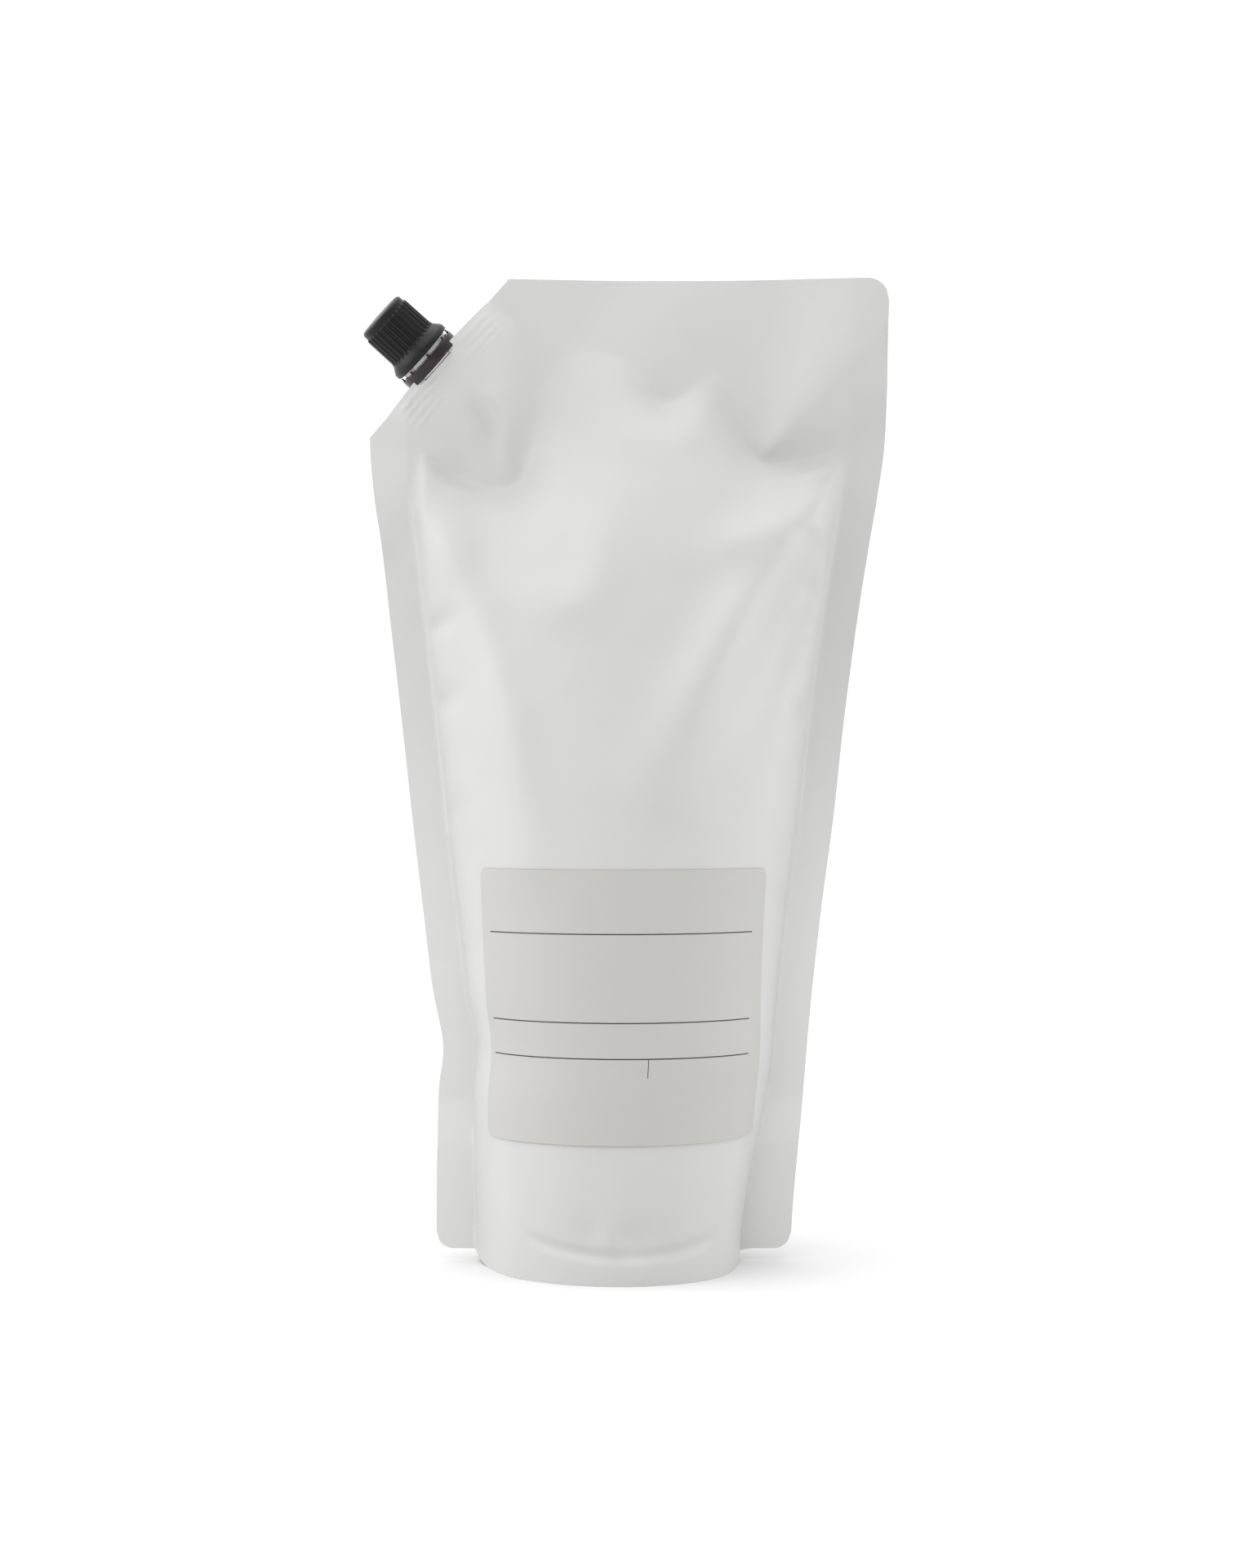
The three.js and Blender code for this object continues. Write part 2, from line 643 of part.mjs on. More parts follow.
// The ring that stays on the neck when the cap is first opened, with the stubs of its bridges.
function makeBand() {
  const outer = CAP_SKIRT_RADIUS;
  const inner = outer - BAND_WALL;
  const low = BAND_START;
  const high = low + BAND_HEIGHT;
  const edge = 0.25;
  let made = turned([
    [inner, low],
    [outer - edge, low],
    [outer, low + edge],
    [outer, high - edge],
    [outer - edge, high],
    [inner, high],
    [inner, lipHigh],
    [bandLip, lipHigh],
    [bandLip, lipLow],
    [inner, lipLow],
    [inner, low],
  ]);
  const sunk = 0.4;
  for (let k = 0; k < NIB_COUNT; k++) {
    const nib = new THREE.BoxGeometry(NIB_DEPTH, NIB_WIDTH, BAND_GAP - CLEARANCE + sunk);
    nib.translate((inner + outer) / 2, 0, high + (BAND_GAP - CLEARANCE - sunk) / 2);
    nib.rotateZ((2 * Math.PI * (k + 0.5)) / NIB_COUNT);
    made = made.add(solid(nib));
  }
  return made;
}

// The screw cap, with its lower edge at height 0.
function makeCap() {
  const topRadius = CAP_BODY_RADIUS - CAP_TAPER;
  const outer = [[CAP_SKIRT_RADIUS, 0], [CAP_SKIRT_RADIUS, CAP_SKIRT_STRAIGHT]];
  const shoulderSteps = 5;
  for (let k = 1; k <= shoulderSteps; k++) {
    const turn = (Math.PI / 2) * (k / shoulderSteps);
    outer.push([
      CAP_BODY_RADIUS + (CAP_SKIRT_RADIUS - CAP_BODY_RADIUS) * Math.cos(turn),
      CAP_SKIRT_STRAIGHT + (CAP_SHOULDER_HEIGHT - CAP_SKIRT_STRAIGHT) * Math.sin(turn),
    ]);
  }
  const edgeSteps = 3;
  for (let k = 0; k <= edgeSteps; k++) {
    const turn = (Math.PI / 2) * (k / edgeSteps);
    outer.push([
      topRadius - CAP_EDGE_RADIUS * (1 - Math.cos(turn)),
      CAP_HEIGHT - CAP_EDGE_RADIUS * (1 - Math.sin(turn)),
    ]);
  }
  const ceiling = CAP_HEIGHT - CAP_TOP_WALL;
  const mouth = CAP_SKIRT_RADIUS - CAP_SKIRT_WALL;
  let made = turned([
    ...outer,
    [0, CAP_HEIGHT],
    [0, ceiling],
    [capInner, ceiling],
    [capInner, CAP_SKIRT_DEPTH],
    [mouth, CAP_SKIRT_DEPTH - (mouth - capInner) * 0.4],
    [mouth, 0],
    outer[0],
  ]);
  const ribTop = CAP_HEIGHT - RIB_TOP_GAP;
  const ribLow = CAP_SHOULDER_HEIGHT - 1;
  for (let k = 0; k < RIB_COUNT; k++) made = made.add(rib(ribLow, ribTop, (2 * Math.PI * k) / RIB_COUNT));
  return made.add(thread(capInner, false, neckThreadStart - capStart - THREAD_PITCH / 2, CAP_THREAD_TURNS));
}

// One grip rib of the cap.
function rib(low, high, angle) {
  const sunk = 0.35;
  const section = (height, rise, share) => {
    const r = CAP_BODY_RADIUS - CAP_TAPER * ((height - low) / (CAP_HEIGHT - low));
    const w = (RIB_WIDTH / 2) * share;
    return [[r - sunk, -w], [r + rise, -w * 0.55], [r + rise, w * 0.55], [r - sunk, w]].map(
      ([x, y]) => new THREE.Vector3(x, y, height),
    );
  };
  const made = loft([
    section(low, RIB_RISE, 1),
    section(high - RIB_WIDTH / 2, RIB_RISE, 1),
    section(high, RIB_RISE * 0.15, 0.5),
  ]);
  made.rotateZ(angle);
  return solid(made);
}

// The sealing disc between the neck's mouth and the cap.
function makeLiner() {
  const low = NECK_LENGTH + CLEARANCE;
  const radius = capInner - CLEARANCE;
  return turned([[0, low], [radius, low], [radius, low + LINER_THICKNESS], [0, low + LINER_THICKNESS]]);
}

const finish = (color, roughness, metalness = 0) =>
  new THREE.MeshStandardMaterial({ color, roughness, metalness });

function named(name, made, material) {
  const mesh = new THREE.Mesh(geometryOf(made), material);
  mesh.name = name;
  return mesh;
}

// The spout stands on the cut edge, square to it, and leans to the front with the film.
function spoutFrame() {
  const low = film(-HALF_WIDTH, topEdge(-HALF_WIDTH), -1);
  const high = film(CORNER_CUT_ACROSS - HALF_WIDTH, POUCH_HEIGHT, -1);
  const frame = new THREE.Group();
  frame.position.set((low.x + high.x) / 2, -forward(cutMiddle.x, cutMiddle.y), (low.z + high.z) / 2);
  frame.rotation.order = "YXZ";
  frame.rotation.y = -Math.atan2(high.z - low.z, high.x - low.x);
  frame.rotation.x = tilt;
  frame.translateX(-SPOUT_DOWN);
  frame.translateZ(-SPOUT_SUNK);
  frame.updateMatrix();
  return frame;
}

const blackPlastic = finish(0x17171a, 0.38);
const whiteFilm = finish(0xe4e4e1, 0.5);
const labelPaper = finish(0xc9c9c4, 0.6);
const naturalPlastic = finish(0xdcdcd8, 0.4);
const linerFoam = finish(0xf2f2ee, 0.8);

const spout = spoutFrame();
spout.add(named("spout", makeSpout(), naturalPlastic));
spout.add(named("tamper_band", makeBand(), blackPlastic));
spout.add(named("cap_liner", makeLiner(), linerFoam));
const cap = named("cap", makeCap(), blackPlastic);
cap.position.z = capStart;
spout.add(cap);

const pocket = boatPocket().transform(spout.matrix.elements);
const pack = new THREE.Group();
pack.name = "refill_pack";
pack.add(named("pouch", makePouch().subtract(pocket), whiteFilm));
pack.add(named("label", makeLabel(), labelPaper));
pack.add(spout);

export default pack;
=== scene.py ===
"""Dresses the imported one-litre refill pouch: film, label, spout, tamper band and screw cap."""
import math

import bpy
import numpy as np
from mathutils import Matrix, Vector


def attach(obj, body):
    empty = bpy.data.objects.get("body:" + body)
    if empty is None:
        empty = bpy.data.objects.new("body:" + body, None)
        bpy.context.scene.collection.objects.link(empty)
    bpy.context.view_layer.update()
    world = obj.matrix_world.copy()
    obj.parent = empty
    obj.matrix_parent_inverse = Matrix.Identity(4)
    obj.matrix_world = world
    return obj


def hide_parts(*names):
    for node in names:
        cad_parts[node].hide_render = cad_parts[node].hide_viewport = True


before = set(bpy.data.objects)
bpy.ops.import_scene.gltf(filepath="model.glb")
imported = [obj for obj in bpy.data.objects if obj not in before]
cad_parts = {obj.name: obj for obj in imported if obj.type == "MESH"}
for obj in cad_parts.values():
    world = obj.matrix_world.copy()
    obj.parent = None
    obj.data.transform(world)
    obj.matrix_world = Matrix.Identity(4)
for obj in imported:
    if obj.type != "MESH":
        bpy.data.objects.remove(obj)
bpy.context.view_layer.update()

bl_info = {
    "name": "Spouted refill pouch",
    "version": (1, 0, 0),
    "blender": (4, 5, 0),
    "location": "3D View > Sidebar > Pouch",
    "description": "A full one-litre refill pouch with a corner spout and a ribbed screw cap",
    "category": "Add Mesh",
}

MM = 0.001

# The flat film.
POUCH_WIDTH = 150 * MM
POUCH_HEIGHT = 283 * MM
SIDE_SEAL = 10 * MM
FILM_PAIR = 0.6 * MM
CUT_ACROSS = 40 * MM
CUT_DOWN = 45.6 * MM
CORNER_RADIUS = 6.5 * MM
FIN_LIFT = 3.4 * MM
FIN_CORNER = 5 * MM
HALF_WIDTH = POUCH_WIDTH / 2
HALF_FILM = HALF_WIDTH - SIDE_SEAL

# The standing pack's left and right edge and half its thickness at heights above the floor, in millimetres.
LEFT_EDGE = [
    (0, -51.3), (22, -51.3), (36, -51), (50, -50.6), (62, -49.4), (78.5, -52.4), (100, -55),
    (128, -58.3), (156.5, -61.4), (185, -64.7), (206, -67.1), (220, -69.2), (236, -70.5), (283, -70.6),
]
RIGHT_EDGE = [
    (0, 51), (15, 51.7), (43, 54.3), (71.5, 56.7), (100, 59.8), (128, 63.5), (156.5, 66.6),
    (185, 70.4), (206, 73.7), (220, 76.1), (236, 78.3), (260, 79), (283, 79.4),
]
BELLY = [
    (0, 42.95), (30, 42.3), (63, 40.4), (124, 34.7), (183, 27), (217, 20.5), (240, 15), (262, 10.5),
    (283, 7),
]
CORNER_SEAL_LEFT = 1.2 * MM
CORNER_SEAL_RIGHT = 5.5 * MM
CORNER_SEAL_HEIGHT = 60 * MM
BASE_SHIFT = 4 * MM
# The heights between which the film eases into the side seals, most at the lower one.
EASED_HEIGHTS = (15 * MM, 95 * MM)

# Where front and back film part: shares of the half width between the seals, and millimetres below the top.
FILL_LINE = [
    (-1, 62), (-0.95, 51), (-0.91, 47.5), (-0.82, 54.5), (-0.69, 58), (-0.57, 60.5), (-0.52, 60.5),
    (-0.46, 57.5), (-0.43, 48), (-0.41, 36), (-0.33, 26), (-0.25, 22), (-0.14, 20), (-0.05, 22.5),
    (0.02, 24.5), (0.08, 31), (0.15, 36.5), (0.22, 34.5), (0.29, 31), (0.37, 27.3), (0.43, 28),
    (0.46, 37), (0.5, 46), (0.54, 50.5), (0.59, 53), (0.67, 53.5), (0.76, 52.5), (0.96, 49.5), (1, 49),
]
# How far below that line the film takes to swell, left and right, and where one turns into the other.
SWELL_LEFT = 18 * MM
SWELL_RIGHT = 13 * MM
SWELL_CHANGE = (-20 * MM, 2 * MM)
# It swells faster in the corner beside the left seal.
SWELL_CORNER = 9 * MM
CORNER_CHANGE = (-60 * MM, -42 * MM)
# The swelling is solved on finer and finer grids.
SWELL_GRIDS = (4 * MM, 2 * MM, 1 * MM)
SWELL_ROUNDS = 260
SWELL_SOFTENED = 6

# Soft folds: the line that the crest follows, its height and its half width, in millimetres.
FRONT_FOLDS = [
    {"line": [(0.96, 55), (0.78, 75), (0.54, 98), (0.28, 129), (0.16, 145)], "rise": 6.8, "half": 14},
    {"line": [(0.74, 69), (0.4, 80)], "rise": 3.6, "half": 9},
    {"line": [(0.94, 72), (0.77, 98), (0.62, 128)], "rise": -3.0, "half": 10},
    {"line": [(0.86, 118), (0.72, 142), (0.66, 172)], "rise": 1.2, "half": 11},
    {"line": [(-0.11, 62), (-0.12, 86), (-0.23, 95), (-0.45, 93), (-0.66, 88)], "rise": 1.8, "half": 10},
    {"line": [(-0.84, 66), (-0.63, 104), (-0.5, 136), (-0.42, 165)], "rise": 3.4, "half": 12},
    {"line": [(-0.76, 84), (-0.45, 112)], "rise": -1.0, "half": 10},
    {"line": [(-0.02, 42), (0.11, 46), (0.27, 43), (0.37, 33)], "rise": 1.2, "half": 8},
    {"line": [(0.47, 34), (0.51, 56)], "rise": -1.2, "half": 8},
]
BACK_FOLDS = [
    {"line": [(-0.9, 60), (-0.25, 120)], "rise": 2.0, "half": 14},
    {"line": [(0.8, 66), (0.3, 140)], "rise": 2.2, "half": 14},
    {"line": [(-0.1, 44), (-0.12, 88)], "rise": -1.8, "half": 11},
]
# Where the funnel below the spout ends, and its folds.
FUNNEL_END = (-0.5, 60.5)
FUNNEL_FOLDS = [
    {"line": [(-0.63, 31), (-0.56, 41), (-0.51, 53)], "rise": 2.6, "half": 5},
    {"line": [(-0.74, 34), (-0.63, 42), (-0.58, 53)], "rise": -2.2, "half": 5},
]
# Small buckles at the side seals: side, millimetres below the top, depth and half height.
SEAL_BUCKLES = [
    (-1, 101, 1.8, 5), (-1, 123, 1.8, 6), (-1, 155, 1.6, 6), (-1, 196, 1.0, 7),
    (1, 127, 1.6, 6), (1, 180, 1.5, 6), (1, 199, 1.0, 5), (1, 92, 0.8, 6),
    (1, 62, 1.8, 4), (1, 74, -0.8, 3),
]
BUCKLE_REACH = 12 * MM
# The top corners that the soap pushes out, and where below the top that fades.
CORNER_BULGE_LEFT = 3.0 * MM
CORNER_BULGE_RIGHT = 1.8 * MM
CORNER_BULGE_FADE = (66 * MM, 112 * MM)
# The grids that hold the relief, and how often each is softened.
RELIEF_GRID = 1 * MM
FUNNEL_GRID = 0.5 * MM
BOAT_SOFTENED = 8
FUNNEL_SOFTENED = 160
FOLDS_SOFTENED = 20
FUNNEL_FOLDS_SOFTENED = 3
CORNERS_SOFTENED = 2

# The cone in the flap above the fill line: its tip, direction and spread in degrees, and how steep it is.
FLAP_APEX = (0.56, 54)
FLAP_DIRECTION = 47
FLAP_SPREAD = (11, 21)
FLAP_RISE = 0.28
FLAP_FLATTER = 0.4
FLAP_FLATTER_REACH = (15 * MM, 65 * MM)
FLAP_DRAWN = 0.6

# The skirt's weld rises from the middle of the base to the side seals.
SKIRT_MIDDLE = 8.1 * MM
SKIRT_SIDE = 49 * MM
SKIRT_ROUND = 0.98
SKIRT_GROOVE = 0.9 * MM
SKIRT_GROOVE_HALF = 1.6 * MM
SKIRT_GROOVE_FADE = (20 * MM, 33 * MM)
SKIRT_THICKNESS = 1.2 * MM
PUCKER_DEPTH = 0.6 * MM
PUCKER_HEIGHT = 5 * MM
PUCKER_REACH = 18 * MM
GUSSET_RISE = 6.2 * MM
GUSSET_SLOPE = 12 * MM

# How white the film is, from 0 to 1: over the soap, in its left and right seal, and in both near the floor.
# The seals' extra whiteness, most near the floor, is painted light: it stands in for light shining through
# the thin fins and lifts the shade that the body casts beside them.
WHITE_FILM = 0.2
WHITE_SEALS = (0.38, 0.2)
# Painted light: the seals are painted whiter near the floor, fading out between these heights.
PAINTED_LIGHT_SEALS_LOW = 0.66
PAINTED_LIGHT_SEALS_FADE = (80 * MM, 190 * MM)
WHITE_FLAP = 0.04
WHITE_WELD = 0.13
# The side seals step in whiteness at these heights, where the gusset is welded in.
GUSSET_STEPS = [(0.05, 46 * MM), (-0.04, 34 * MM)]

# The spout and what it carries.
SPOUT_TILT = math.radians(13)
TILT_REACH = 27 * MM
SPOUT_DOWN = 2.2 * MM
SPOUT_SUNK = 0.7 * MM
BOAT_HALF_LENGTH = 19.35 * MM
BOAT_HALF_THICKNESS = 6 * MM
BOAT_HEIGHT = 8.6 * MM
BOAT_DEPTH = 1.2 * MM
BOAT_WALL = 1 * MM
BOAT_RIB_PRESS = 0.5 * MM
CLEARANCE = 0.3 * MM
NECK_RADIUS = 5.6 * MM
NECK_LENGTH = 18.6 * MM
NECK_FLANGE_RADIUS = 8.3 * MM
THREAD_PITCH = 3 * MM
THREAD_DEPTH = 0.7 * MM
CAP_START = 5 * MM
CAP_HEIGHT = 16.5 * MM
CAP_SKIRT_RADIUS = 9.9 * MM
CAP_BODY_RADIUS = 7.7 * MM
CAP_TAPER = 0.12 * MM
CAP_TOP_WALL = 1.3 * MM
CAP_EDGE_RADIUS = 1 * MM
CAP_SHOULDER_HEIGHT = 4.6 * MM
CAP_SKIRT_STRAIGHT = 1.7 * MM
CAP_SKIRT_WALL = 1.1 * MM
CAP_SKIRT_DEPTH = 3.4 * MM
CAP_FOOT = 0.2 * MM
CAP_FOOT_EDGE = 0.25 * MM
CAP_HUB_RADIUS = 0.3 * MM
CAP_INNER = NECK_RADIUS + THREAD_DEPTH + CLEARANCE
RIB_COUNT = 28
RIB_RISE = 0.45 * MM
RIB_TOP_GAP = 2.2 * MM
BAND_START = 0.8 * MM
BAND_HEIGHT = 3.1 * MM
BAND_WALL = 1.2 * MM
BAND_LIP_OVERHANG = 2.6 * MM
BAND_LIP = (1.5 * MM, 2.3 * MM)
BAND_EDGE = 0.22 * MM
BRIDGE_COUNT = 8
BRIDGE_HALF_DEPTH = 0.35 * MM
BRIDGE_HALF_WIDTH = 0.6 * MM
COLLAR_RADIUS = 8.3 * MM
COLLAR_HEIGHT = 1.5 * MM
COLLAR_EDGE = 0.2 * MM
COLLAR_GAP = 0.1 * MM
# Roughness and specular level.
CAP_FINISH = (0.34, 0.22)
BAND_FINISH = (0.14, 0.4)

# The label: its corners, and how far its back, its face and its ink lie off the film.
LABEL_CORNER = 2 * MM
LABEL_BACK = 0.15 * MM
LABEL_FACE = 0.42 * MM
INK_FACE = 0.45 * MM
# Rules, in millimetres: below the label's top, and their ends, in from its left and right edge.
RULES = [(17.7, 3.8, 5.6), (42, 3.1, 6.3), (51.8, 2.5, 6.8)]
# The short upright tick: right of the middle, its ends below the top, and its share of a rule's width.
TICK_ACROSS = 6 * MM
TICK_ENDS = (52 * MM, 57 * MM)
TICK_WIDTH = 0.6

# The photograph's view: a level camera in front of the pack.
CAMERA_X = 3.8 * MM
CAMERA_HEIGHT = 137.6 * MM
CAMERA_DISTANCE = 794 * MM
VIEW_HEIGHT = 453.5 * MM


def smooth(v, low, high):
    """Rises softly from 0 at low to 1 at high."""
    t = np.clip((v - low) / (high - low), 0, 1)
    return t * t * (3 - 2 * t)


def bump(v, half):
    """A soft bump of height 1 that has all but gone at half."""
    return np.exp(-2 * (v / half) ** 2)


def through(stations, at):
    """A smooth curve through millimetre stations of (place, value)."""
    xs, ys = (np.array(stations, float) * MM).T
    at = np.clip(at, xs[0], xs[-1])
    i = np.clip(np.searchsorted(xs, at, side="right") - 1, 0, len(xs) - 2)
    k = np.arange(len(xs))
    a, b = np.maximum(k - 1, 0), np.minimum(k + 1, len(xs) - 1)
    slope = (ys[b] - ys[a]) / (xs[b] - xs[a])
    h = xs[i + 1] - xs[i]
    t = (at - xs[i]) / h
    return (
        ys[i] * (1 + 2 * t) * (1 - t) ** 2
        + h * slope[i] * t * (1 - t) ** 2
        + ys[i + 1] * t * t * (3 - 2 * t)
        + h * slope[i + 1] * t * t * (t - 1)
    )


ARC_ANGLES = np.linspace(1e-3, math.pi, 4000)


def arc_angle(share):
    """Half the angle of the arc whose chord is this share of its length."""
    return np.interp(-share, -np.sin(ARC_ANGLES) / ARC_ANGLES, ARC_ANGLES)


def on_film(share, below):
    """A place on the film from its share of the half width and its millimetres below the top."""
    return np.array([share * HALF_FILM, POUCH_HEIGHT - below * MM])


def to_line(s, z, line):
    """Distance of places to an open line, and how far along the line the nearest point is, 0 to 1."""
    nearest = np.full(np.shape(s), np.inf)
    along = np.zeros(np.shape(s))
    steps = len(line) - 1
    for i in range(steps):
        a, b = line[i], line[i + 1]
        d = b - a
        t = np.clip(((s - a[0]) * d[0] + (z - a[1]) * d[1]) / (d @ d), 0, 1)
        off = np.hypot(s - a[0] - t * d[0], z - a[1] - t * d[1])
        closer = off < nearest
        nearest = np.where(closer, off, nearest)
        along = np.where(closer, (i + t) / steps, along)
    return nearest, along


def spline(points, per_span):
    """A smooth line through points."""
    points = np.array(points)
    padded = np.vstack([points[:1], points, points[-1:]])
    out = []
    for i in range(len(points) - 1):
        p0, p1, p2, p3 = padded[i : i + 4]
        for t in np.arange(per_span) / per_span:
            v0, v1 = (p2 - p0) / 2, (p3 - p1) / 2
            out.append(
                (2 * p1 - 2 * p2 + v0 + v1) * t**3 + (-3 * p1 + 3 * p2 - 2 * v0 - v1) * t**2 + v0 * t + p1
            )
    return np.array(out + [points[-1]])


FILL_CURVE = spline([on_film(*p) for p in FILL_LINE], 4)


def below_fill(s, z):
    """Distance below the line where the two films part, or 0 above it."""
    nearest, _ = to_line(s, z, FILL_CURVE)
    order = np.argsort(FILL_CURVE[:, 0])
    line = np.interp(s, FILL_CURVE[order, 0], FILL_CURVE[order, 1])
    return np.where(z < line, nearest, 0)


def swollen(step, start):
    """The share of its full depth that the film has, as a skin that the soap swells below the fill line."""
    places, heights = over_film(step, lambda s, z: (s, z))
    loose = below_fill(places, heights) > 0
    reach = SWELL_LEFT + (SWELL_RIGHT - SWELL_LEFT) * smooth(places, *SWELL_CHANGE)
    reach = reach - SWELL_CORNER * (1 - smooth(places, *CORNER_CHANGE))
    pull = (reach / step) ** 2
    full = loose.astype(float) if start is None else on_grid(start, places, heights) * loose
    for _ in range(SWELL_ROUNDS):
        full = loose * (1 + pull * neighbours(full)) / (1 + 4 * pull)
    return full


def neighbours(grid):
    """The sum of each point's four neighbours."""
    edged = np.pad(grid, 1, mode="edge")
    return edged[:-2, 1:-1] + edged[2:, 1:-1] + edged[1:-1, :-2] + edged[1:-1, 2:]


def on_grid(grid, s, z):
    """Reads a grid over the whole film at places in it, with smooth curves between its points."""
    places = []
    for share, count in ((s + HALF_WIDTH) / POUCH_WIDTH, grid.shape[0]), (z / POUCH_HEIGHT, grid.shape[1]):
        at = np.clip(share, 0, 1) * (count - 1)
        first = np.clip(np.floor(at).astype(int), 0, count - 2)
        a = at - first
        weights = ((1 - a) ** 3, 3 * a**3 - 6 * a**2 + 4, -3 * a**3 + 3 * a**2 + 3 * a + 1, a**3)
        places.append([(np.clip(first + k - 1, 0, count - 1), w / 6) for k, w in enumerate(weights)])
    return sum(wu * wv * grid[i, j] for i, wu in places[0] for j, wv in places[1])


def over_film(step, value):
    """A grid over the whole film of what value gives at its points."""
    s = np.linspace(-HALF_WIDTH, HALF_WIDTH, round(POUCH_WIDTH / step) + 1)
    z = np.linspace(0, POUCH_HEIGHT, round(POUCH_HEIGHT / step) + 1)
    return value(*np.meshgrid(s, z, indexing="ij"))


def softened(grid, times):
    for _ in range(times):
        grid = (neighbours(grid) + 4 * grid) / 8
    return grid


FULLNESS = None
for grid_step in SWELL_GRIDS:
    FULLNESS = swollen(grid_step, FULLNESS)
FULLNESS = softened(FULLNESS, SWELL_SOFTENED)


def fullness(s, z):
    return on_grid(FULLNESS, np.asarray(s, float), np.asarray(z, float))


def folds(listed, s, z):
    """Height of the listed folds, each of which fades towards its ends."""
    total = np.zeros(np.shape(s))
    for fold in listed:
        line = spline([on_film(*p) for p in fold["line"]], 6)
        off, along = to_line(s, z, line)
        fade = smooth(along, 0, 0.15) * (1 - 0.9 * smooth(along, 0.55, 1))
        total += fold["rise"] * MM * bump(off, fold["half"] * MM) * (0.25 + 0.75 * fade)
    return total


def seal_buckles(s, z):
    """Depth of the buckles, which slant away from the side seals."""
    total = np.zeros(np.shape(s))
    for side, below, depth, half in SEAL_BUCKLES:
        from_seal = HALF_FILM - side * s
        height = bump(z - (POUCH_HEIGHT - below * MM) - 0.25 * from_seal, half * MM)
        total += depth * MM * height * bump(from_seal - 4 * MM, BUCKLE_REACH)
    return total


def corner_bulges(s, z):
    """The film's two top corners beside the seals, which the soap pushes out."""
    below = below_fill(s, z)
    aside = HALF_FILM - np.abs(s)
    reach = np.where(s < 0, CORNER_BULGE_LEFT, CORNER_BULGE_RIGHT)
    near = smooth(aside, -0.5 * MM, 5 * MM) * (1 - smooth(aside, 9 * MM, 26 * MM))
    return reach * near * smooth(below, 0, 5 * MM) * (1 - smooth(POUCH_HEIGHT - z, *CORNER_BULGE_FADE))


FRONT_RELIEF = softened(over_film(RELIEF_GRID, lambda s, z: folds(FRONT_FOLDS, s, z)), FOLDS_SOFTENED)
BACK_RELIEF = softened(over_film(RELIEF_GRID, lambda s, z: folds(BACK_FOLDS, s, z)), FOLDS_SOFTENED)
CORNER_BULGES = softened(over_film(RELIEF_GRID, corner_bulges), CORNERS_SOFTENED)

CUT_LENGTH = math.hypot(CUT_ACROSS, CUT_DOWN)
CUT_ALONG = np.array([CUT_ACROSS, CUT_DOWN]) / CUT_LENGTH
CUT_MIDDLE = np.array([CUT_ACROSS / 2 - HALF_WIDTH, POUCH_HEIGHT - CUT_DOWN / 2])


def beside_cut(s, z):
    """Places along the cut corner's edge from its middle, and inwards from it."""
    ds, dz = s - CUT_MIDDLE[0], z - CUT_MIDDLE[1]
    return ds * CUT_ALONG[0] + dz * CUT_ALONG[1], ds * CUT_ALONG[1] - dz * CUT_ALONG[0]


def lens(t, half, thickness):
    """Half the thickness of a boat-shaped section."""
    return thickness * np.maximum(0, 1 - (t / half) ** 2)


FUNNEL_TIP = beside_cut(*on_film(*FUNNEL_END))


def around_boat(s, z):
    """Half the thickness that the boat and the funnel below it give the film."""
    t, q = beside_cut(s, z)
    half = BOAT_HALF_LENGTH + 3 * MM
    thick = BOAT_HALF_THICKNESS + BOAT_WALL
    inner = BOAT_DEPTH + BOAT_HEIGHT + 2 * CLEARANCE
    share = np.clip((FUNNEL_TIP[1] - q) / (FUNNEL_TIP[1] - inner), 1e-4, 1)
    base = FUNNEL_TIP[0] + (t - FUNNEL_TIP[0]) / share
    return lens(base, half, thick) * np.where(q > FUNNEL_TIP[1], 0, share)


def funnel_relief(s, z):
    """The funnel's own folds, which start below the boat's pocket."""
    return folds(FUNNEL_FOLDS, s, z) * smooth(beside_cut(s, z)[1], 13 * MM, 19 * MM)


def funnel_half():
    """The boat and its funnel as one grid, crisp at the boat and soft further down."""
    crisp = over_film(FUNNEL_GRID, around_boat)
    share = over_film(FUNNEL_GRID, lambda s, z: smooth(beside_cut(s, z)[1], 8 * MM, 18 * MM))
    return softened(crisp, BOAT_SOFTENED) * (1 - share) + softened(crisp, FUNNEL_SOFTENED) * share


FUNNEL = funnel_half()
FUNNEL_RELIEF = softened(over_film(RELIEF_GRID, funnel_relief), FUNNEL_FOLDS_SOFTENED)


def weld_ribs(s, z):
    """The boat's ribs, pressed through the film beside the spout."""
    t, q = beside_cut(s, z)
    place = q - BOAT_DEPTH
    ends = smooth(np.abs(t), 4 * MM, 9 * MM) * (1 - smooth(np.abs(t), 18 * MM, 19.5 * MM))
    inside = smooth(place, 0, 0.6 * MM) * (1 - smooth(place, BOAT_HEIGHT - 0.6 * MM, BOAT_HEIGHT))
    wave = 0.5 - 0.5 * np.cos(2 * math.pi * place / (BOAT_HEIGHT / 4))
    return BOAT_RIB_PRESS * ends * inside * wave


def leaned(s, z):
    """How far a place has leaned with the spout's corner, measured along the film."""
    into = np.maximum(0, TILT_REACH - beside_cut(s, z)[1])
    soft = 5 * MM
    return np.where(into > soft, into - soft / 2, into**2 / (2 * soft))


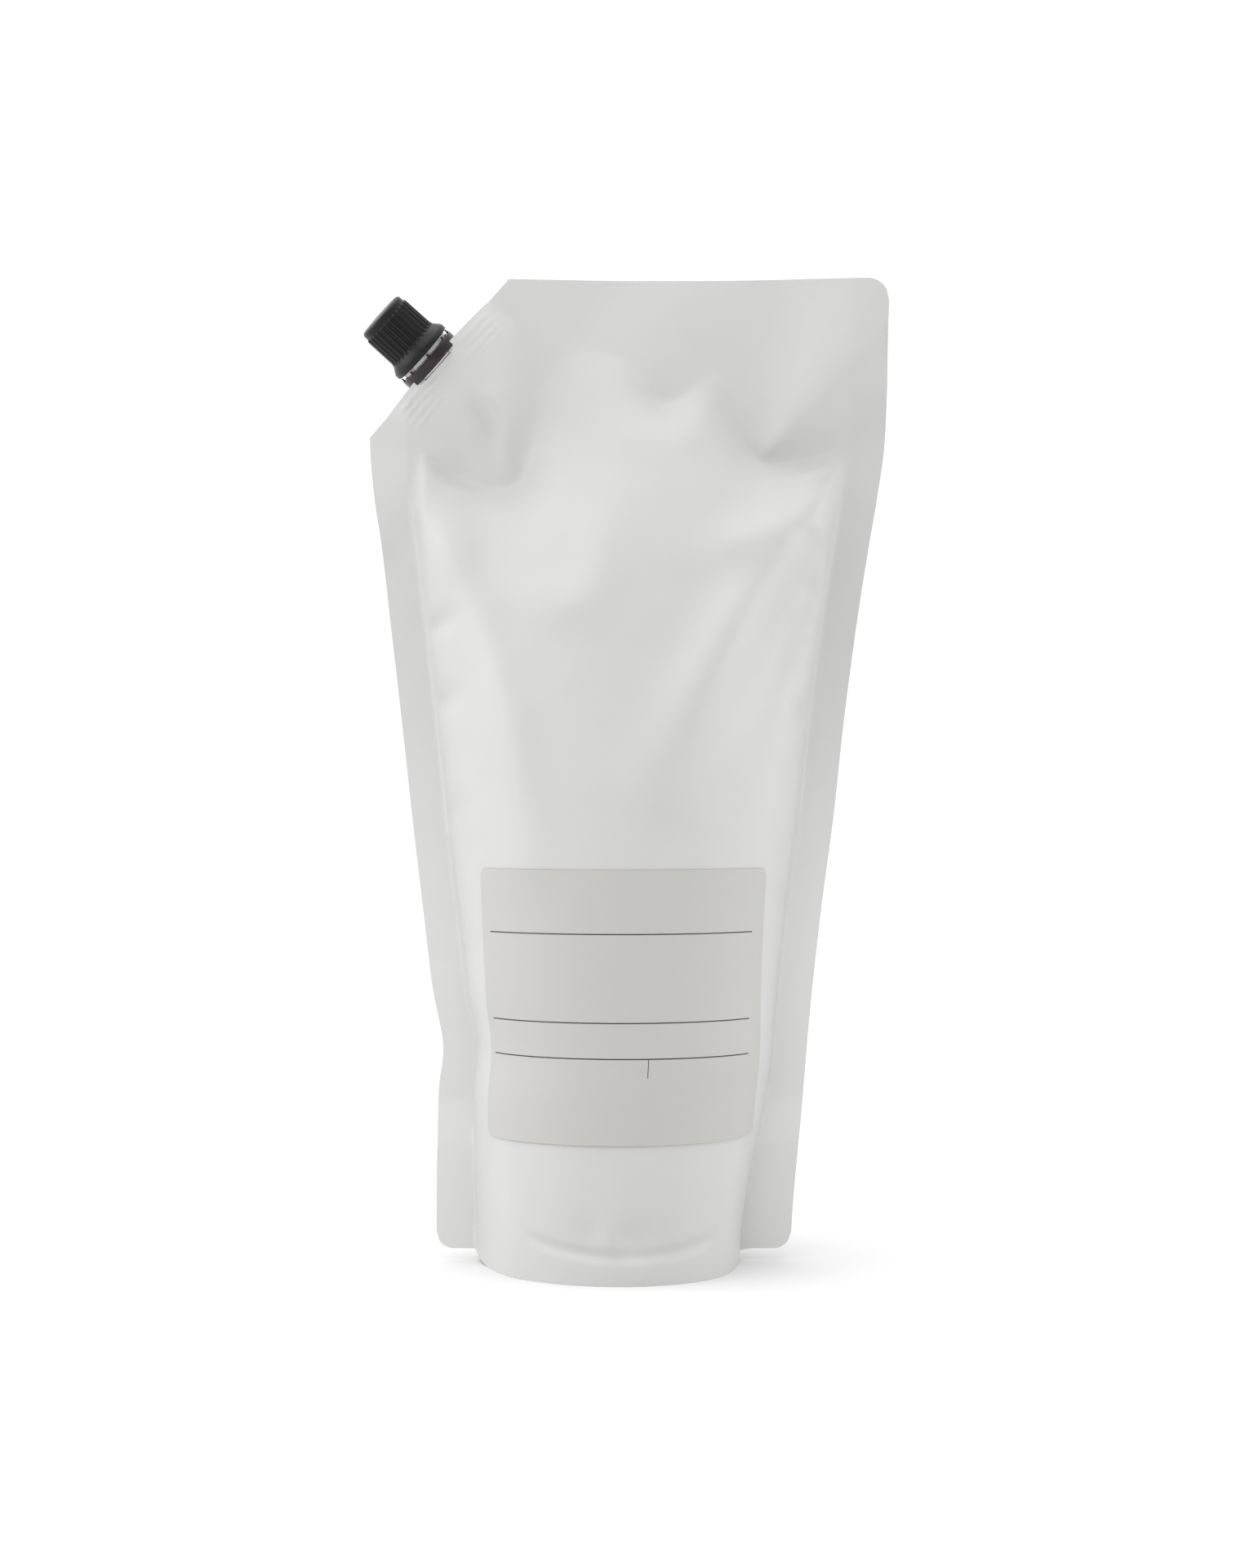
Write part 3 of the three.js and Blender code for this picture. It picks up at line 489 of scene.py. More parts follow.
def flap_bend(s, z):
    """The cone that the flap buckles into: how far forward it goes, and how far it is drawn in."""
    apex = on_film(*FLAP_APEX)
    ds, dz = s - apex[0], z - apex[1]
    reach = np.hypot(ds, dz)
    angle = np.degrees(np.arctan2(dz, ds)) - FLAP_DIRECTION
    grown = reach * (1 - FLAP_FLATTER * smooth(reach, *FLAP_FLATTER_REACH))
    spread = np.where(angle < 0, *FLAP_SPREAD)
    bent = FLAP_RISE * grown * np.exp(-0.5 * (angle / spread) ** 2) * smooth(reach, 0, 8 * MM)
    drawn = FLAP_DRAWN * bent**2 / np.maximum(reach, 1 * MM) ** 2
    return bent, ds * drawn, dz * drawn


def skirt_line(s):
    """Height of the skirt's weld."""
    share = np.clip(np.abs(s) / HALF_FILM, 0, 1)
    return SKIRT_MIDDLE + (SKIRT_SIDE - SKIRT_MIDDLE) * (1 - np.sqrt(1 - share**2 * SKIRT_ROUND))


def skirt_relief(s, z):
    """The crease along the skirt's weld and the puckers above it, as shares of their depths."""
    above = z - skirt_line(s)
    middle = 1 - smooth(np.abs(s + 1 * MM), *SKIRT_GROOVE_FADE)
    crease = np.exp(-((above / SKIRT_GROOVE_HALF) ** 2)) * middle
    wave = np.sin(s / (3.1 * MM)) + 0.6 * np.sin(s / (1.7 * MM) + 1)
    band = np.exp(-(((above - PUCKER_HEIGHT) / PUCKER_HEIGHT) ** 2))
    return crease, band * (wave + 1.3) * bump(s + 2 * MM, PUCKER_REACH)


def film(s, z, side):
    """A point of the film: s runs round it from its middle, z is its height, side is -1 for the front."""
    low = 1 - smooth(z, 0, CORNER_SEAL_HEIGHT)
    seal_left = SIDE_SEAL + CORNER_SEAL_LEFT * low
    seal_right = SIDE_SEAL + CORNER_SEAL_RIGHT * low
    left = through(LEFT_EDGE, z) + seal_left
    right = through(RIGHT_EDGE, z) - seal_right
    chord = (right - left) / 2
    half = HALF_WIDTH - (seal_left + seal_right) / 2
    inside = np.clip(s, seal_left - HALF_WIDTH, HALF_WIDTH - seal_right)
    share = (inside - (seal_left - seal_right) / 2) / half
    phi = arc_angle(chord / half)
    bow = chord * np.sin(share * phi) / np.sin(phi) + BASE_SHIFT * low * (1 - share**2)
    arch = (np.cos(share * phi) - np.cos(phi)) / (1 - np.cos(phi))
    full = fullness(s, z)
    eased = arch * smooth(arch, -0.2, 0.7)
    arch = arch + (eased - arch) * (1 - smooth(z, *EASED_HEIGHTS))
    depth = through(BELLY, z) * arch * full
    if side < 0:
        depth = depth + on_grid(FRONT_RELIEF, s, z) * full * smooth(arch, 0, 0.25)
        depth = depth - seal_buckles(s, z) * full * smooth(arch, 0, 0.15) + on_grid(CORNER_BULGES, s, z)
    else:
        depth = depth + on_grid(BACK_RELIEF, s, z) * full * smooth(arch, 0, 0.3)
    crease, pucker = skirt_relief(s, z)
    depth = depth - SKIRT_GROOVE * crease - PUCKER_DEPTH * pucker
    boat = on_grid(FUNNEL, s, z)
    boat = np.maximum(0, boat + on_grid(FUNNEL_RELIEF, s, z) * smooth(boat, 0, 2 * MM) * (side < 0))
    depth = np.hypot(np.maximum(depth, 0), boat) + weld_ribs(s, z) + FILM_PAIR / 2
    lean = leaned(s, z)
    drawn = (1 - math.cos(SPOUT_TILT)) * lean
    bent, flap_x, flap_z = flap_bend(s, z)
    x = (left + right) / 2 + bow + (s - inside) + CUT_ALONG[1] * drawn - flap_x
    y = side * depth - math.sin(SPOUT_TILT) * lean - bent
    return np.stack([x, y, z - CUT_ALONG[0] * drawn - flap_z], axis=-1)


def top_edge(s):
    """Height of the film's upper edge, with the corner cut off for the spout and the rounded one."""
    cut = np.clip((s + HALF_WIDTH) / CUT_ACROSS, 0, 1)
    rounded = np.maximum(0, s - (HALF_WIDTH - CORNER_RADIUS))
    corner = CORNER_RADIUS - np.sqrt(np.maximum(0, CORNER_RADIUS**2 - rounded**2))
    return POUCH_HEIGHT - CUT_DOWN * (1 - cut) - corner


def bottom_edge(s):
    """Height of the film's lower edge, which is lifted and rounded at the side seals."""
    lifted = FIN_LIFT * smooth(np.abs(s), HALF_FILM * 0.72, HALF_FILM)
    rounded = np.maximum(0, np.abs(s) - (HALF_WIDTH - FIN_CORNER))
    return lifted + FIN_CORNER - np.sqrt(np.maximum(0, FIN_CORNER**2 - rounded**2))


def spout_matrix():
    """The spout's own frame: +Z out of the pouch along the spout, X along the cut edge."""
    low = film(np.float64(-HALF_WIDTH), top_edge(-HALF_WIDTH), -1)
    high = film(np.float64(CUT_ACROSS - HALF_WIDTH), POUCH_HEIGHT, -1)
    turn = math.atan2(high[2] - low[2], high[0] - low[0])
    lean = math.sin(SPOUT_TILT) * float(leaned(*CUT_MIDDLE))
    origin = Vector(((low[0] + high[0]) / 2, -lean, (low[2] + high[2]) / 2))
    turned = Matrix.Rotation(-turn, 4, "Y") @ Matrix.Rotation(SPOUT_TILT, 4, "X")
    return Matrix.Translation(origin) @ turned @ Matrix.Translation((-SPOUT_DOWN, 0, -SPOUT_SUNK))


def new_mesh(name, vertices, faces, crease_angle=40):
    """A smooth mesh whose faces are turned outwards, with hard edges where they meet at a large angle."""
    points = np.asarray(vertices).reshape(-1, 3)
    mesh = bpy.data.meshes.new(name)
    mesh.from_pydata(points.tolist(), [], [list(map(int, f)) for f in faces])
    mesh.update()
    mesh.calc_loop_triangles()
    ends = np.empty(3 * len(mesh.loop_triangles), int)
    mesh.loop_triangles.foreach_get("vertices", ends)
    a, b, c = points[ends.reshape(-1, 3)].transpose(1, 0, 2)
    if (a * np.cross(b, c)).sum() < 0:
        mesh.flip_normals()
    mesh.shade_smooth()
    mesh.set_sharp_from_angle(angle=math.radians(crease_angle))
    piece = bpy.data.objects.new(name, mesh)
    bpy.context.scene.collection.objects.link(piece)
    return piece


def grid_faces(rows, columns, closed_rows=False, closed_columns=False):
    """Quads over a grid of points, row by row, wrapped where it is closed."""
    i, j = np.meshgrid(
        np.arange(rows if closed_rows else rows - 1),
        np.arange(columns if closed_columns else columns - 1),
        indexing="ij",
    )
    i, j = i.ravel(), j.ravel()
    up, on = (i + 1) % rows, (j + 1) % columns
    return np.stack([i * columns + j, i * columns + on, up * columns + on, up * columns + j], axis=-1)


def sheet_faces(columns, ring):
    """Quads of a thin closed body whose columns are rings: round it, and over its first and last ring."""
    faces = [grid_faces(columns, ring, closed_columns=True)]
    half = np.arange(ring // 2 - 1)
    for start, step in ((0, 1), ((columns - 1) * ring, -1)):
        far = start + ring
        strip = np.stack([start + half, start + half + 1, far - 2 - half, far - 1 - half], axis=-1)
        faces.append(strip[:, ::-step])
    return np.concatenate(faces)


def turned_mesh(name, profile, segments, crease_angle=30):
    """A ring or cup turned about +Z from a closed profile of (radius, height)."""
    profile = np.array(profile)
    angle = 2 * math.pi * np.arange(segments) / segments
    x = profile[:, :1] * np.cos(angle)
    y = profile[:, :1] * np.sin(angle)
    z = np.repeat(profile[:, 1:], segments, axis=1)
    faces = grid_faces(len(profile), segments, closed_rows=True, closed_columns=True)
    return new_mesh(name, np.stack([x, y, z], axis=-1), faces, crease_angle)


def dress(piece, body, material, nodes=()):
    """Gives a piece its material, its body and the CAD nodes that it stands for."""
    piece.data.materials.append(material)
    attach(piece, body)
    if nodes:
        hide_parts(*nodes)
    return piece


class Nodes:
    """A short way to build one material's nodes."""

    def __init__(self, name):
        self.material = bpy.data.materials.new(name)
        self.material.use_nodes = True
        self.tree = self.material.node_tree
        self.shader = self.tree.nodes["Principled BSDF"]
        self.place = self.add("ShaderNodeTexCoord").outputs["Object"]

    def add(self, kind, **values):
        node = self.tree.nodes.new(kind)
        for name, value in values.items():
            setattr(node, name, value)
        return node

    def link(self, source, target):
        self.tree.links.new(source, target)

    def noise(self, size, detail=3.0, stretch=(1, 1, 1)):
        """Noise whose features are about this size, in metres."""
        scaled = self.add("ShaderNodeMapping")
        scaled.inputs["Scale"].default_value = stretch
        self.link(self.place, scaled.inputs["Vector"])
        node = self.add("ShaderNodeTexNoise")
        node.inputs["Scale"].default_value = 1 / size
        node.inputs["Detail"].default_value = detail
        self.link(scaled.outputs["Vector"], node.inputs["Vector"])
        return node.outputs["Fac"]

    def ranged(self, source, low, high):
        node = self.add("ShaderNodeMapRange")
        node.inputs["To Min"].default_value = low
        node.inputs["To Max"].default_value = high
        self.link(source, node.inputs["Value"])
        return node.outputs["Result"]

    def mixed(self, factor, first, second):
        node = self.add("ShaderNodeMix", data_type="RGBA")
        self.link(factor, node.inputs["Factor"])
        for value, target in ((first, node.inputs["A"]), (second, node.inputs["B"])):
            if isinstance(value, bpy.types.NodeSocket):
                self.link(value, target)
            else:
                target.default_value = (*value[:3], 1)
        return node.outputs["Result"]

    def bump(self, *heights):
        """Bumps on top of each other: (height source, depth in metres)."""
        normal = None
        for source, depth in heights:
            node = self.add("ShaderNodeBump")
            node.inputs["Strength"].default_value = 1
            node.inputs["Distance"].default_value = depth
            self.link(source, node.inputs["Height"])
            if normal is not None:
                self.link(normal, node.inputs["Normal"])
            normal = node.outputs["Normal"]
        self.link(normal, self.shader.inputs["Normal"])


def darker(colour, share):
    return [c * share for c in colour[:3]]


def film_material(colour):
    """Satin white film, whiter where more film plies lie on each other, and painted whiter in the side
    seals as painted light.
    """
    n = Nodes("matte_film")
    # The attribute holds the film's whiteness together with the painted light in its side seals.
    layers = n.add("ShaderNodeAttribute", attribute_name="layers").outputs["Fac"]
    cloudy = n.ranged(n.noise(13 * MM, 3), -0.07, 0.03)
    both = n.add("ShaderNodeMath", operation="ADD", use_clamp=True)
    n.link(layers, both.inputs[0])
    n.link(cloudy, both.inputs[1])
    shade = n.mixed(both.outputs["Value"], darker(colour, 0.9), darker(colour, 1.4))
    n.link(shade, n.shader.inputs["Base Color"])
    n.link(n.ranged(n.noise(5 * MM, 3), 0.38, 0.5), n.shader.inputs["Roughness"])
    n.bump((n.noise(0.35 * MM, 2), 0.004 * MM), (n.noise(9 * MM, 1), 0.05 * MM))
    n.shader.inputs["IOR"].default_value = 1.46
    n.shader.inputs["Specular IOR Level"].default_value = 0.5
    return n.material


def label_material(colour):
    """Uncoated label stock with a faint grain across the sheet."""
    n = Nodes("label_stock")
    grain = n.noise(0.5 * MM, 3, (0.12, 1, 1))
    cloudy = n.mixed(n.noise(8 * MM, 2), darker(colour, 0.97), colour)
    n.link(n.mixed(grain, darker(colour, 0.97), cloudy), n.shader.inputs["Base Color"])
    n.link(n.ranged(grain, 0.5, 0.62), n.shader.inputs["Roughness"])
    n.bump((n.noise(0.25 * MM, 2), 0.004 * MM))
    return n.material


def ink_material(colour):
    n = Nodes("rule_ink")
    n.link(n.mixed(n.noise(0.3 * MM, 2), darker(colour, 0.8), colour), n.shader.inputs["Base Color"])
    n.link(n.ranged(n.noise(0.4 * MM), 0.45, 0.6), n.shader.inputs["Roughness"])
    return n.material


def closure_material(name, colour, roughness, gloss):
    """Black moulded plastic with a fine satin grain."""
    n = Nodes(name)
    n.link(n.mixed(n.noise(2 * MM, 4), darker(colour, 0.8), colour), n.shader.inputs["Base Color"])
    n.link(n.ranged(n.noise(0.6 * MM), roughness * 0.85, roughness * 1.15), n.shader.inputs["Roughness"])
    n.bump((n.noise(0.18 * MM, 2), 0.006 * MM))
    n.shader.inputs["IOR"].default_value = 1.5
    n.shader.inputs["Specular IOR Level"].default_value = gloss
    return n.material


def moulded_material(name, colour, roughness):
    """Natural moulded plastic, slightly milky."""
    n = Nodes(name)
    n.link(n.mixed(n.noise(4 * MM), darker(colour, 0.94), colour), n.shader.inputs["Base Color"])
    n.link(n.ranged(n.noise(1 * MM), roughness * 0.85, roughness * 1.15), n.shader.inputs["Roughness"])
    n.bump((n.noise(0.4 * MM, 2), 0.004 * MM))
    return n.material


def floor_material():
    n = Nodes("studio_floor")
    n.link(n.mixed(n.noise(0.2, 2), (0.68, 0.68, 0.68), (0.7, 0.7, 0.7)), n.shader.inputs["Base Color"])
    n.shader.inputs["Roughness"].default_value = 0.7
    return n.material


class FilmSettings(bpy.types.PropertyGroup):
    colour: bpy.props.FloatVectorProperty(
        name="Film colour", description="Colour of the pouch's film", subtype="COLOR", size=3,
        min=0, max=1, default=(0.522, 0.522, 0.516),
    )
    step: bpy.props.FloatProperty(
        name="Grid step", description="Distance between the film's points", unit="LENGTH",
        min=0.4 * MM, default=0.85 * MM, precision=5,
    )


class LabelSettings(bpy.types.PropertyGroup):
    colour: bpy.props.FloatVectorProperty(
        name="Label colour", description="Colour of the label's stock", subtype="COLOR", size=3,
        min=0, max=1, default=(0.452, 0.447, 0.43),
    )
    ink: bpy.props.FloatVectorProperty(
        name="Ink colour", description="Colour of the printed rules", subtype="COLOR", size=3,
        min=0, max=1, default=(0.035, 0.03, 0.026),
    )
    width: bpy.props.FloatProperty(
        name="Label width", description="Width of the label round the film", unit="LENGTH",
        default=92.2 * MM,
    )
    height: bpy.props.FloatProperty(
        name="Label height", description="Height of the label", unit="LENGTH", default=75.4 * MM,
    )
    top: bpy.props.FloatProperty(
        name="Label top", description="Height of its top edge above the floor", unit="LENGTH",
        default=113.8 * MM,
    )
    offset: bpy.props.FloatProperty(
        name="Label offset", description="Its middle, from the film's middle", unit="LENGTH",
        default=0.5 * MM, precision=5,
    )
    rule_width: bpy.props.FloatProperty(
        name="Rule width", description="Thickness of the printed rules", unit="LENGTH",
        default=0.32 * MM, precision=5,
    )


class ClosureSettings(bpy.types.PropertyGroup):
    colour: bpy.props.FloatVectorProperty(
        name="Cap colour", description="Colour of the screw cap", subtype="COLOR", size=3,
        min=0, max=1, default=(0.011, 0.011, 0.012),
    )
    band_colour: bpy.props.FloatVectorProperty(
        name="Band colour", description="Colour of the tamper band", subtype="COLOR", size=3,
        min=0, max=1, default=(0.014, 0.007, 0.01),
    )
    spout_colour: bpy.props.FloatVectorProperty(
        name="Spout colour", description="Colour of the moulded spout", subtype="COLOR", size=3,
        min=0, max=1, default=(0.78, 0.78, 0.76),
    )


class StageSettings(bpy.types.PropertyGroup):
    left: bpy.props.FloatProperty(
        name="Left light", description="Strength of the large light on the left", unit="POWER",
        default=3.6,
    )
    right: bpy.props.FloatProperty(
        name="Right light", description="Strength of the light on the right", unit="POWER", default=3.8,
    )
    top: bpy.props.FloatProperty(
        name="Top light", description="Strength of the soft light from above", default=1.9,
    )
    behind: bpy.props.FloatProperty(
        name="Surround behind", description="Strength of the white surround behind the pack",
        default=1.08,
    )
    before: bpy.props.FloatProperty(
        name="Surround before", description="Strength of the white surround on the camera's side",
        default=0.72,
    )


class POUCH_OT_stage(bpy.types.Operator):
    """Camera, pale floor, white surround and three soft lights"""

    bl_idname = "pouch.stage"
    bl_label = "Stage"

    def execute(self, context):
        settings = context.scene.pouch_stage
        camera_data = bpy.data.cameras.new("camera")
        camera_data.lens = camera_data.sensor_width * CAMERA_DISTANCE / VIEW_HEIGHT
        camera = bpy.data.objects.new("camera", camera_data)
        camera.location = (CAMERA_X, -CAMERA_DISTANCE, CAMERA_HEIGHT)
        camera.rotation_euler = (math.pi / 2, 0, 0)
        context.scene.collection.objects.link(camera)
        context.scene.camera = camera
        context.scene.view_settings.view_transform = "Standard"
        self.floor()
        context.scene.world = self.surround(settings)
        self.soft_light("left_light", (-0.95, -0.12, 0.5), (0.6, 0.9), settings.left)
        self.soft_light("right_light", (1.2, -0.1, 0.35), (0.7, 1.1), settings.right)
        overhead = bpy.data.lights.new("overhead_light", "SUN")
        overhead.angle = math.radians(80)
        overhead.energy = settings.top
        light = bpy.data.objects.new("overhead_light", overhead)
        light.rotation_euler = (math.radians(8), math.radians(-10), 0)
        context.scene.collection.objects.link(light)
        return {"FINISHED"}

    def surround(self, settings):
        """A white surround that is a little darker on the camera's side."""
        world = bpy.data.worlds.new("surround")
        world.use_nodes = True
        tree = world.node_tree
        place = tree.nodes.new("ShaderNodeTexCoord").outputs["Generated"]
        parts = tree.nodes.new("ShaderNodeSeparateXYZ")
        ranged = tree.nodes.new("ShaderNodeMapRange")
        ranged.inputs["From Min"].default_value = -0.8
        ranged.inputs["From Max"].default_value = 0.2
        ranged.inputs["To Min"].default_value = settings.before
        ranged.inputs["To Max"].default_value = settings.behind
        tree.links.new(place, parts.inputs["Vector"])
        tree.links.new(parts.outputs["Y"], ranged.inputs["Value"])
        background = tree.nodes["Background"]
        background.inputs["Color"].default_value = (1, 1, 1, 1)
        tree.links.new(ranged.outputs["Result"], background.inputs["Strength"])
        return world

    def floor(self):
        """A wide round floor."""
        rim = 96
        radii = np.array([0.02, 0.3, 1, 3, 8, 20])
        angle = 2 * math.pi * np.arange(rim) / rim
        x, y = radii[:, None] * np.cos(angle), radii[:, None] * np.sin(angle)
        faces = [list(f) for f in grid_faces(len(radii), rim, closed_columns=True)] + [list(range(rim))]
        floor = new_mesh("floor", np.stack([x, y, np.zeros_like(x)], axis=-1), faces)
        floor.data.materials.append(floor_material())

    def soft_light(self, name, place, size, power):
        """A rectangular light turned towards the pack."""
        data = bpy.data.lights.new(name, "AREA")
        data.shape = "RECTANGLE"
        data.size, data.size_y = size
        data.energy = power
        light = bpy.data.objects.new(name, data)
        light.location = place
        aim = Vector((0, 0, 0.15)) - light.location
        light.rotation_euler = aim.to_track_quat("-Z", "Z").to_euler()
        bpy.context.scene.collection.objects.link(light)


class POUCH_OT_film_pouch(bpy.types.Operator):
    """The filled pouch: front and back film, side seals, top flap and gusset"""

    bl_idname = "pouch.film_pouch"
    bl_label = "Film pouch"

    def execute(self, context):
        settings = context.scene.pouch_film
        count = round(POUCH_WIDTH / settings.step)
        s = np.linspace(-HALF_WIDTH, HALF_WIDTH, count + 1)
        share = np.linspace(0, 1, round(POUCH_HEIGHT / settings.step))
        z = bottom_edge(s)[:, None] + (top_edge(s) - bottom_edge(s))[:, None] * share
        places = np.broadcast_to(s[:, None], z.shape)
        front = film(places, z, -1)[:, ::-1]
        back = film(places, z, 1)
        base = self.gusset(front[:, -1], back[:, 0])
        rings = np.concatenate([front, base, back], axis=1)
        columns, ring = rings.shape[:2]
        piece = new_mesh("film_pouch", rings, sheet_faces(columns, ring), 55)
        rows = z.shape[1]
        # The film's whiteness per point, with painted light in the side seals, stored as an attribute for
        # its material.
        whiteness = self.layers(places, z)
        layers = np.full((columns, ring), WHITE_FILM)
        layers[:, :rows] = whiteness[:, ::-1]
        layers[:, -rows:] = whiteness
        attribute = piece.data.attributes.new("layers", "FLOAT", "POINT")
        attribute.data.foreach_set("value", layers.ravel())
        self.cut_pocket(piece)
        dress(piece, "pouch", film_material(settings.colour), ["pouch"])
        return {"FINISHED"}

    def gusset(self, front, back):
        """The underside: a short skirt all round, then the gusset down to the floor."""
        half = ((back - front)[:, 1] / 2)[:, None]
        rise = GUSSET_RISE * smooth(half, SKIRT_THICKNESS, GUSSET_SLOPE)
        share = np.linspace(0, 1, 14)
        run = np.concatenate([[SKIRT_THICKNESS], SKIRT_THICKNESS * 1.4 + GUSSET_SLOPE * share])
        height = np.concatenate([[0], 0.5 + 0.5 * np.cos(math.pi * share)])
        most = half * (np.arange(len(run)) + 1) / (len(run) + 1)
        fits = run <= most
        run = np.where(fits, run, most)
        height = np.where(fits, height, height * most / (SKIRT_THICKNESS + GUSSET_SLOPE))
        zero = np.zeros_like(run)
        near = front[:, None] + np.stack([zero, run, rise * height], axis=-1)
        far = back[:, None] + np.stack([zero, -run, rise * height], axis=-1)
        return np.concatenate([near, far[:, ::-1]], axis=1)

    def layers(self, s, z):
        """How white the film is: more in the flap, at the spout's weld and in the gusset seals; the side
        seals are painted whiter as painted light, most near the floor and on a strip beside the body.
        """
        below = below_fill(s, z)
        flat = 1 - smooth(below, 0, 3 * MM)
        corner = 1 - smooth(z, 0, CORNER_SEAL_HEIGHT)
        edge = HALF_FILM - np.where(s < 0, CORNER_SEAL_LEFT, CORNER_SEAL_RIGHT) * corner
        # Near the floor the fin's whiteness reaches 4 mm onto the body: painted light over the shade in the
        # notch between body and seal.
        fin = smooth(np.abs(s) - edge, -1.5 * MM - 4 * MM * corner, 0.5 * MM)
        # The seals' whiteness, raised towards the floor, is painted light standing in for light through the
        # fins.
        low = 1 - smooth(z, *PAINTED_LIGHT_SEALS_FADE)
        seal = np.where(s < 0, *WHITE_SEALS)
        seal = seal + (PAINTED_LIGHT_SEALS_LOW - seal) * low
        gusset = sum(step * np.tanh((height - z) / (1 * MM)) for step, height in GUSSET_STEPS)
        near_spout = 1 - smooth(beside_cut(s, z)[1], 30 * MM, 60 * MM)
        weld = WHITE_WELD * near_spout * (1 - smooth(below, 0, 26 * MM))
        return WHITE_FILM + weld + WHITE_FLAP * flat * (1 - fin) + (seal + gusset - WHITE_FILM) * fin

    def cut_pocket(self, piece):
        """Takes the boat's and the neck's place out of the film, with a clearance round them."""
        half = BOAT_HALF_LENGTH + 2 * CLEARANCE
        t = np.linspace(-half, half, 33)
        y = lens(t, half, BOAT_HALF_THICKNESS + CLEARANCE)
        outline = np.concatenate([np.stack([t, -y], -1), np.stack([t[-2:0:-1], y[-2:0:-1]], -1)])
        low, high = -BOAT_DEPTH - BOAT_HEIGHT - CLEARANCE, 12 * MM
        self.subtract(piece, prism("boat_cutter", outline, low, high))
        angle = 2 * math.pi * np.arange(96) / 96
        radius = NECK_FLANGE_RADIUS + CLEARANCE
        circle = radius * np.stack([np.cos(angle), np.sin(angle)], -1)
        self.subtract(piece, prism("neck_cutter", circle, 0, high))

    def subtract(self, piece, cutter):
        """Cuts one mesh out of another and marks the cut's hard edges."""
        cutter.matrix_world = spout_matrix()
        modifier = piece.modifiers.new("pocket", "BOOLEAN")
        modifier.operation = "DIFFERENCE"
        modifier.solver = "EXACT"
        modifier.object = cutter
        bpy.context.view_layer.update()
        evaluated = piece.evaluated_get(bpy.context.evaluated_depsgraph_get())
        shaped = bpy.data.meshes.new_from_object(evaluated)
        shaped.set_sharp_from_angle(angle=math.radians(50))
        piece.modifiers.clear()
        piece.data = shaped
        bpy.data.objects.remove(cutter)


def prism(name, outline, low, high):
    """A straight block over a closed outline."""
    count = len(outline)
    points = np.array([[x, y, z] for z in (low, high) for x, y in outline])
    faces = [list(f) for f in grid_faces(2, count, closed_columns=True)]
    faces += [list(range(count))[::-1], list(range(count, 2 * count))]
    return new_mesh(name, points, faces)


class POUCH_OT_label(bpy.types.Operator):
    """The label on the front film"""

    bl_idname = "pouch.label"
    bl_label = "Label"

    def execute(self, context):
        settings = context.scene.pouch_label
        u = np.linspace(0, 1, 121)
        v = np.linspace(0, 1, 97)
        in_u = LABEL_CORNER - np.minimum(u, 1 - u) * settings.width
        short = LABEL_CORNER - np.sqrt(np.maximum(0, LABEL_CORNER**2 - np.maximum(0, in_u) ** 2))
        across = np.broadcast_to((u - 0.5)[:, None] * settings.width, (len(u), len(v)))
        up = (v - 0.5)[None, :] * (settings.height - 2 * short[:, None])
        outer = on_label(settings, across, up, LABEL_FACE)
        inner = on_label(settings, across, up, LABEL_BACK)
        rings = np.concatenate([outer, inner[:, ::-1]], axis=1)
        piece = new_mesh("front_label", rings, sheet_faces(*rings.shape[:2]), 50)
        dress(piece, "pouch", label_material(settings.colour), ["label"])
        return {"FINISHED"}


def on_label(settings, across, up, away):
    """Points of the label: across and up from its middle, at a distance off the front film."""
    middle = settings.top - settings.height / 2
    s = settings.offset + across
    z = middle + up
    step = 0.5 * MM
    point = film(s, z, -1)
    right = film(s + step, z, -1) - film(s - step, z, -1)
    rise = film(s, z + step, -1) - film(s, z - step, -1)
    normal = np.cross(right, rise)
    return point + away * normal / np.linalg.norm(normal, axis=-1, keepdims=True)


class POUCH_OT_label_rules(bpy.types.Operator):
    """The printed rules on the label"""

    bl_idname = "pouch.label_rules"
    bl_label = "Label rules"

    def execute(self, context):
        settings = context.scene.pouch_label
        half, top = settings.width / 2, settings.height / 2
        strips = []
        for below, from_left, from_right in RULES:
            t = np.linspace(-half + from_left * MM, half - from_right * MM, 161)
            high = np.full_like(t, top - below * MM)
            strips.append(self.strip(settings, t, high, 0, settings.rule_width))
        tick = np.linspace(top - TICK_ENDS[0], top - TICK_ENDS[1], 9)
        across = np.full_like(tick, TICK_ACROSS)
        strips.append(self.strip(settings, across, tick, settings.rule_width * TICK_WIDTH, 0))
        faces, start = [], 0
        for points in strips:
            faces.append(grid_faces(2, len(points) // 2) + start)
            start += len(points)
        piece = new_mesh("label_rules", np.concatenate(strips), np.concatenate(faces))
        dress(piece, "pouch", ink_material(settings.ink))
        return {"FINISHED"}

    def strip(self, settings, across, up, wide, high):
        """The two edges of a flat printed line."""
        sides = [
            on_label(settings, across + sign * wide / 2, up + sign * high / 2, INK_FACE)
            for sign in (-1, 1)
        ]
        return np.concatenate(sides)


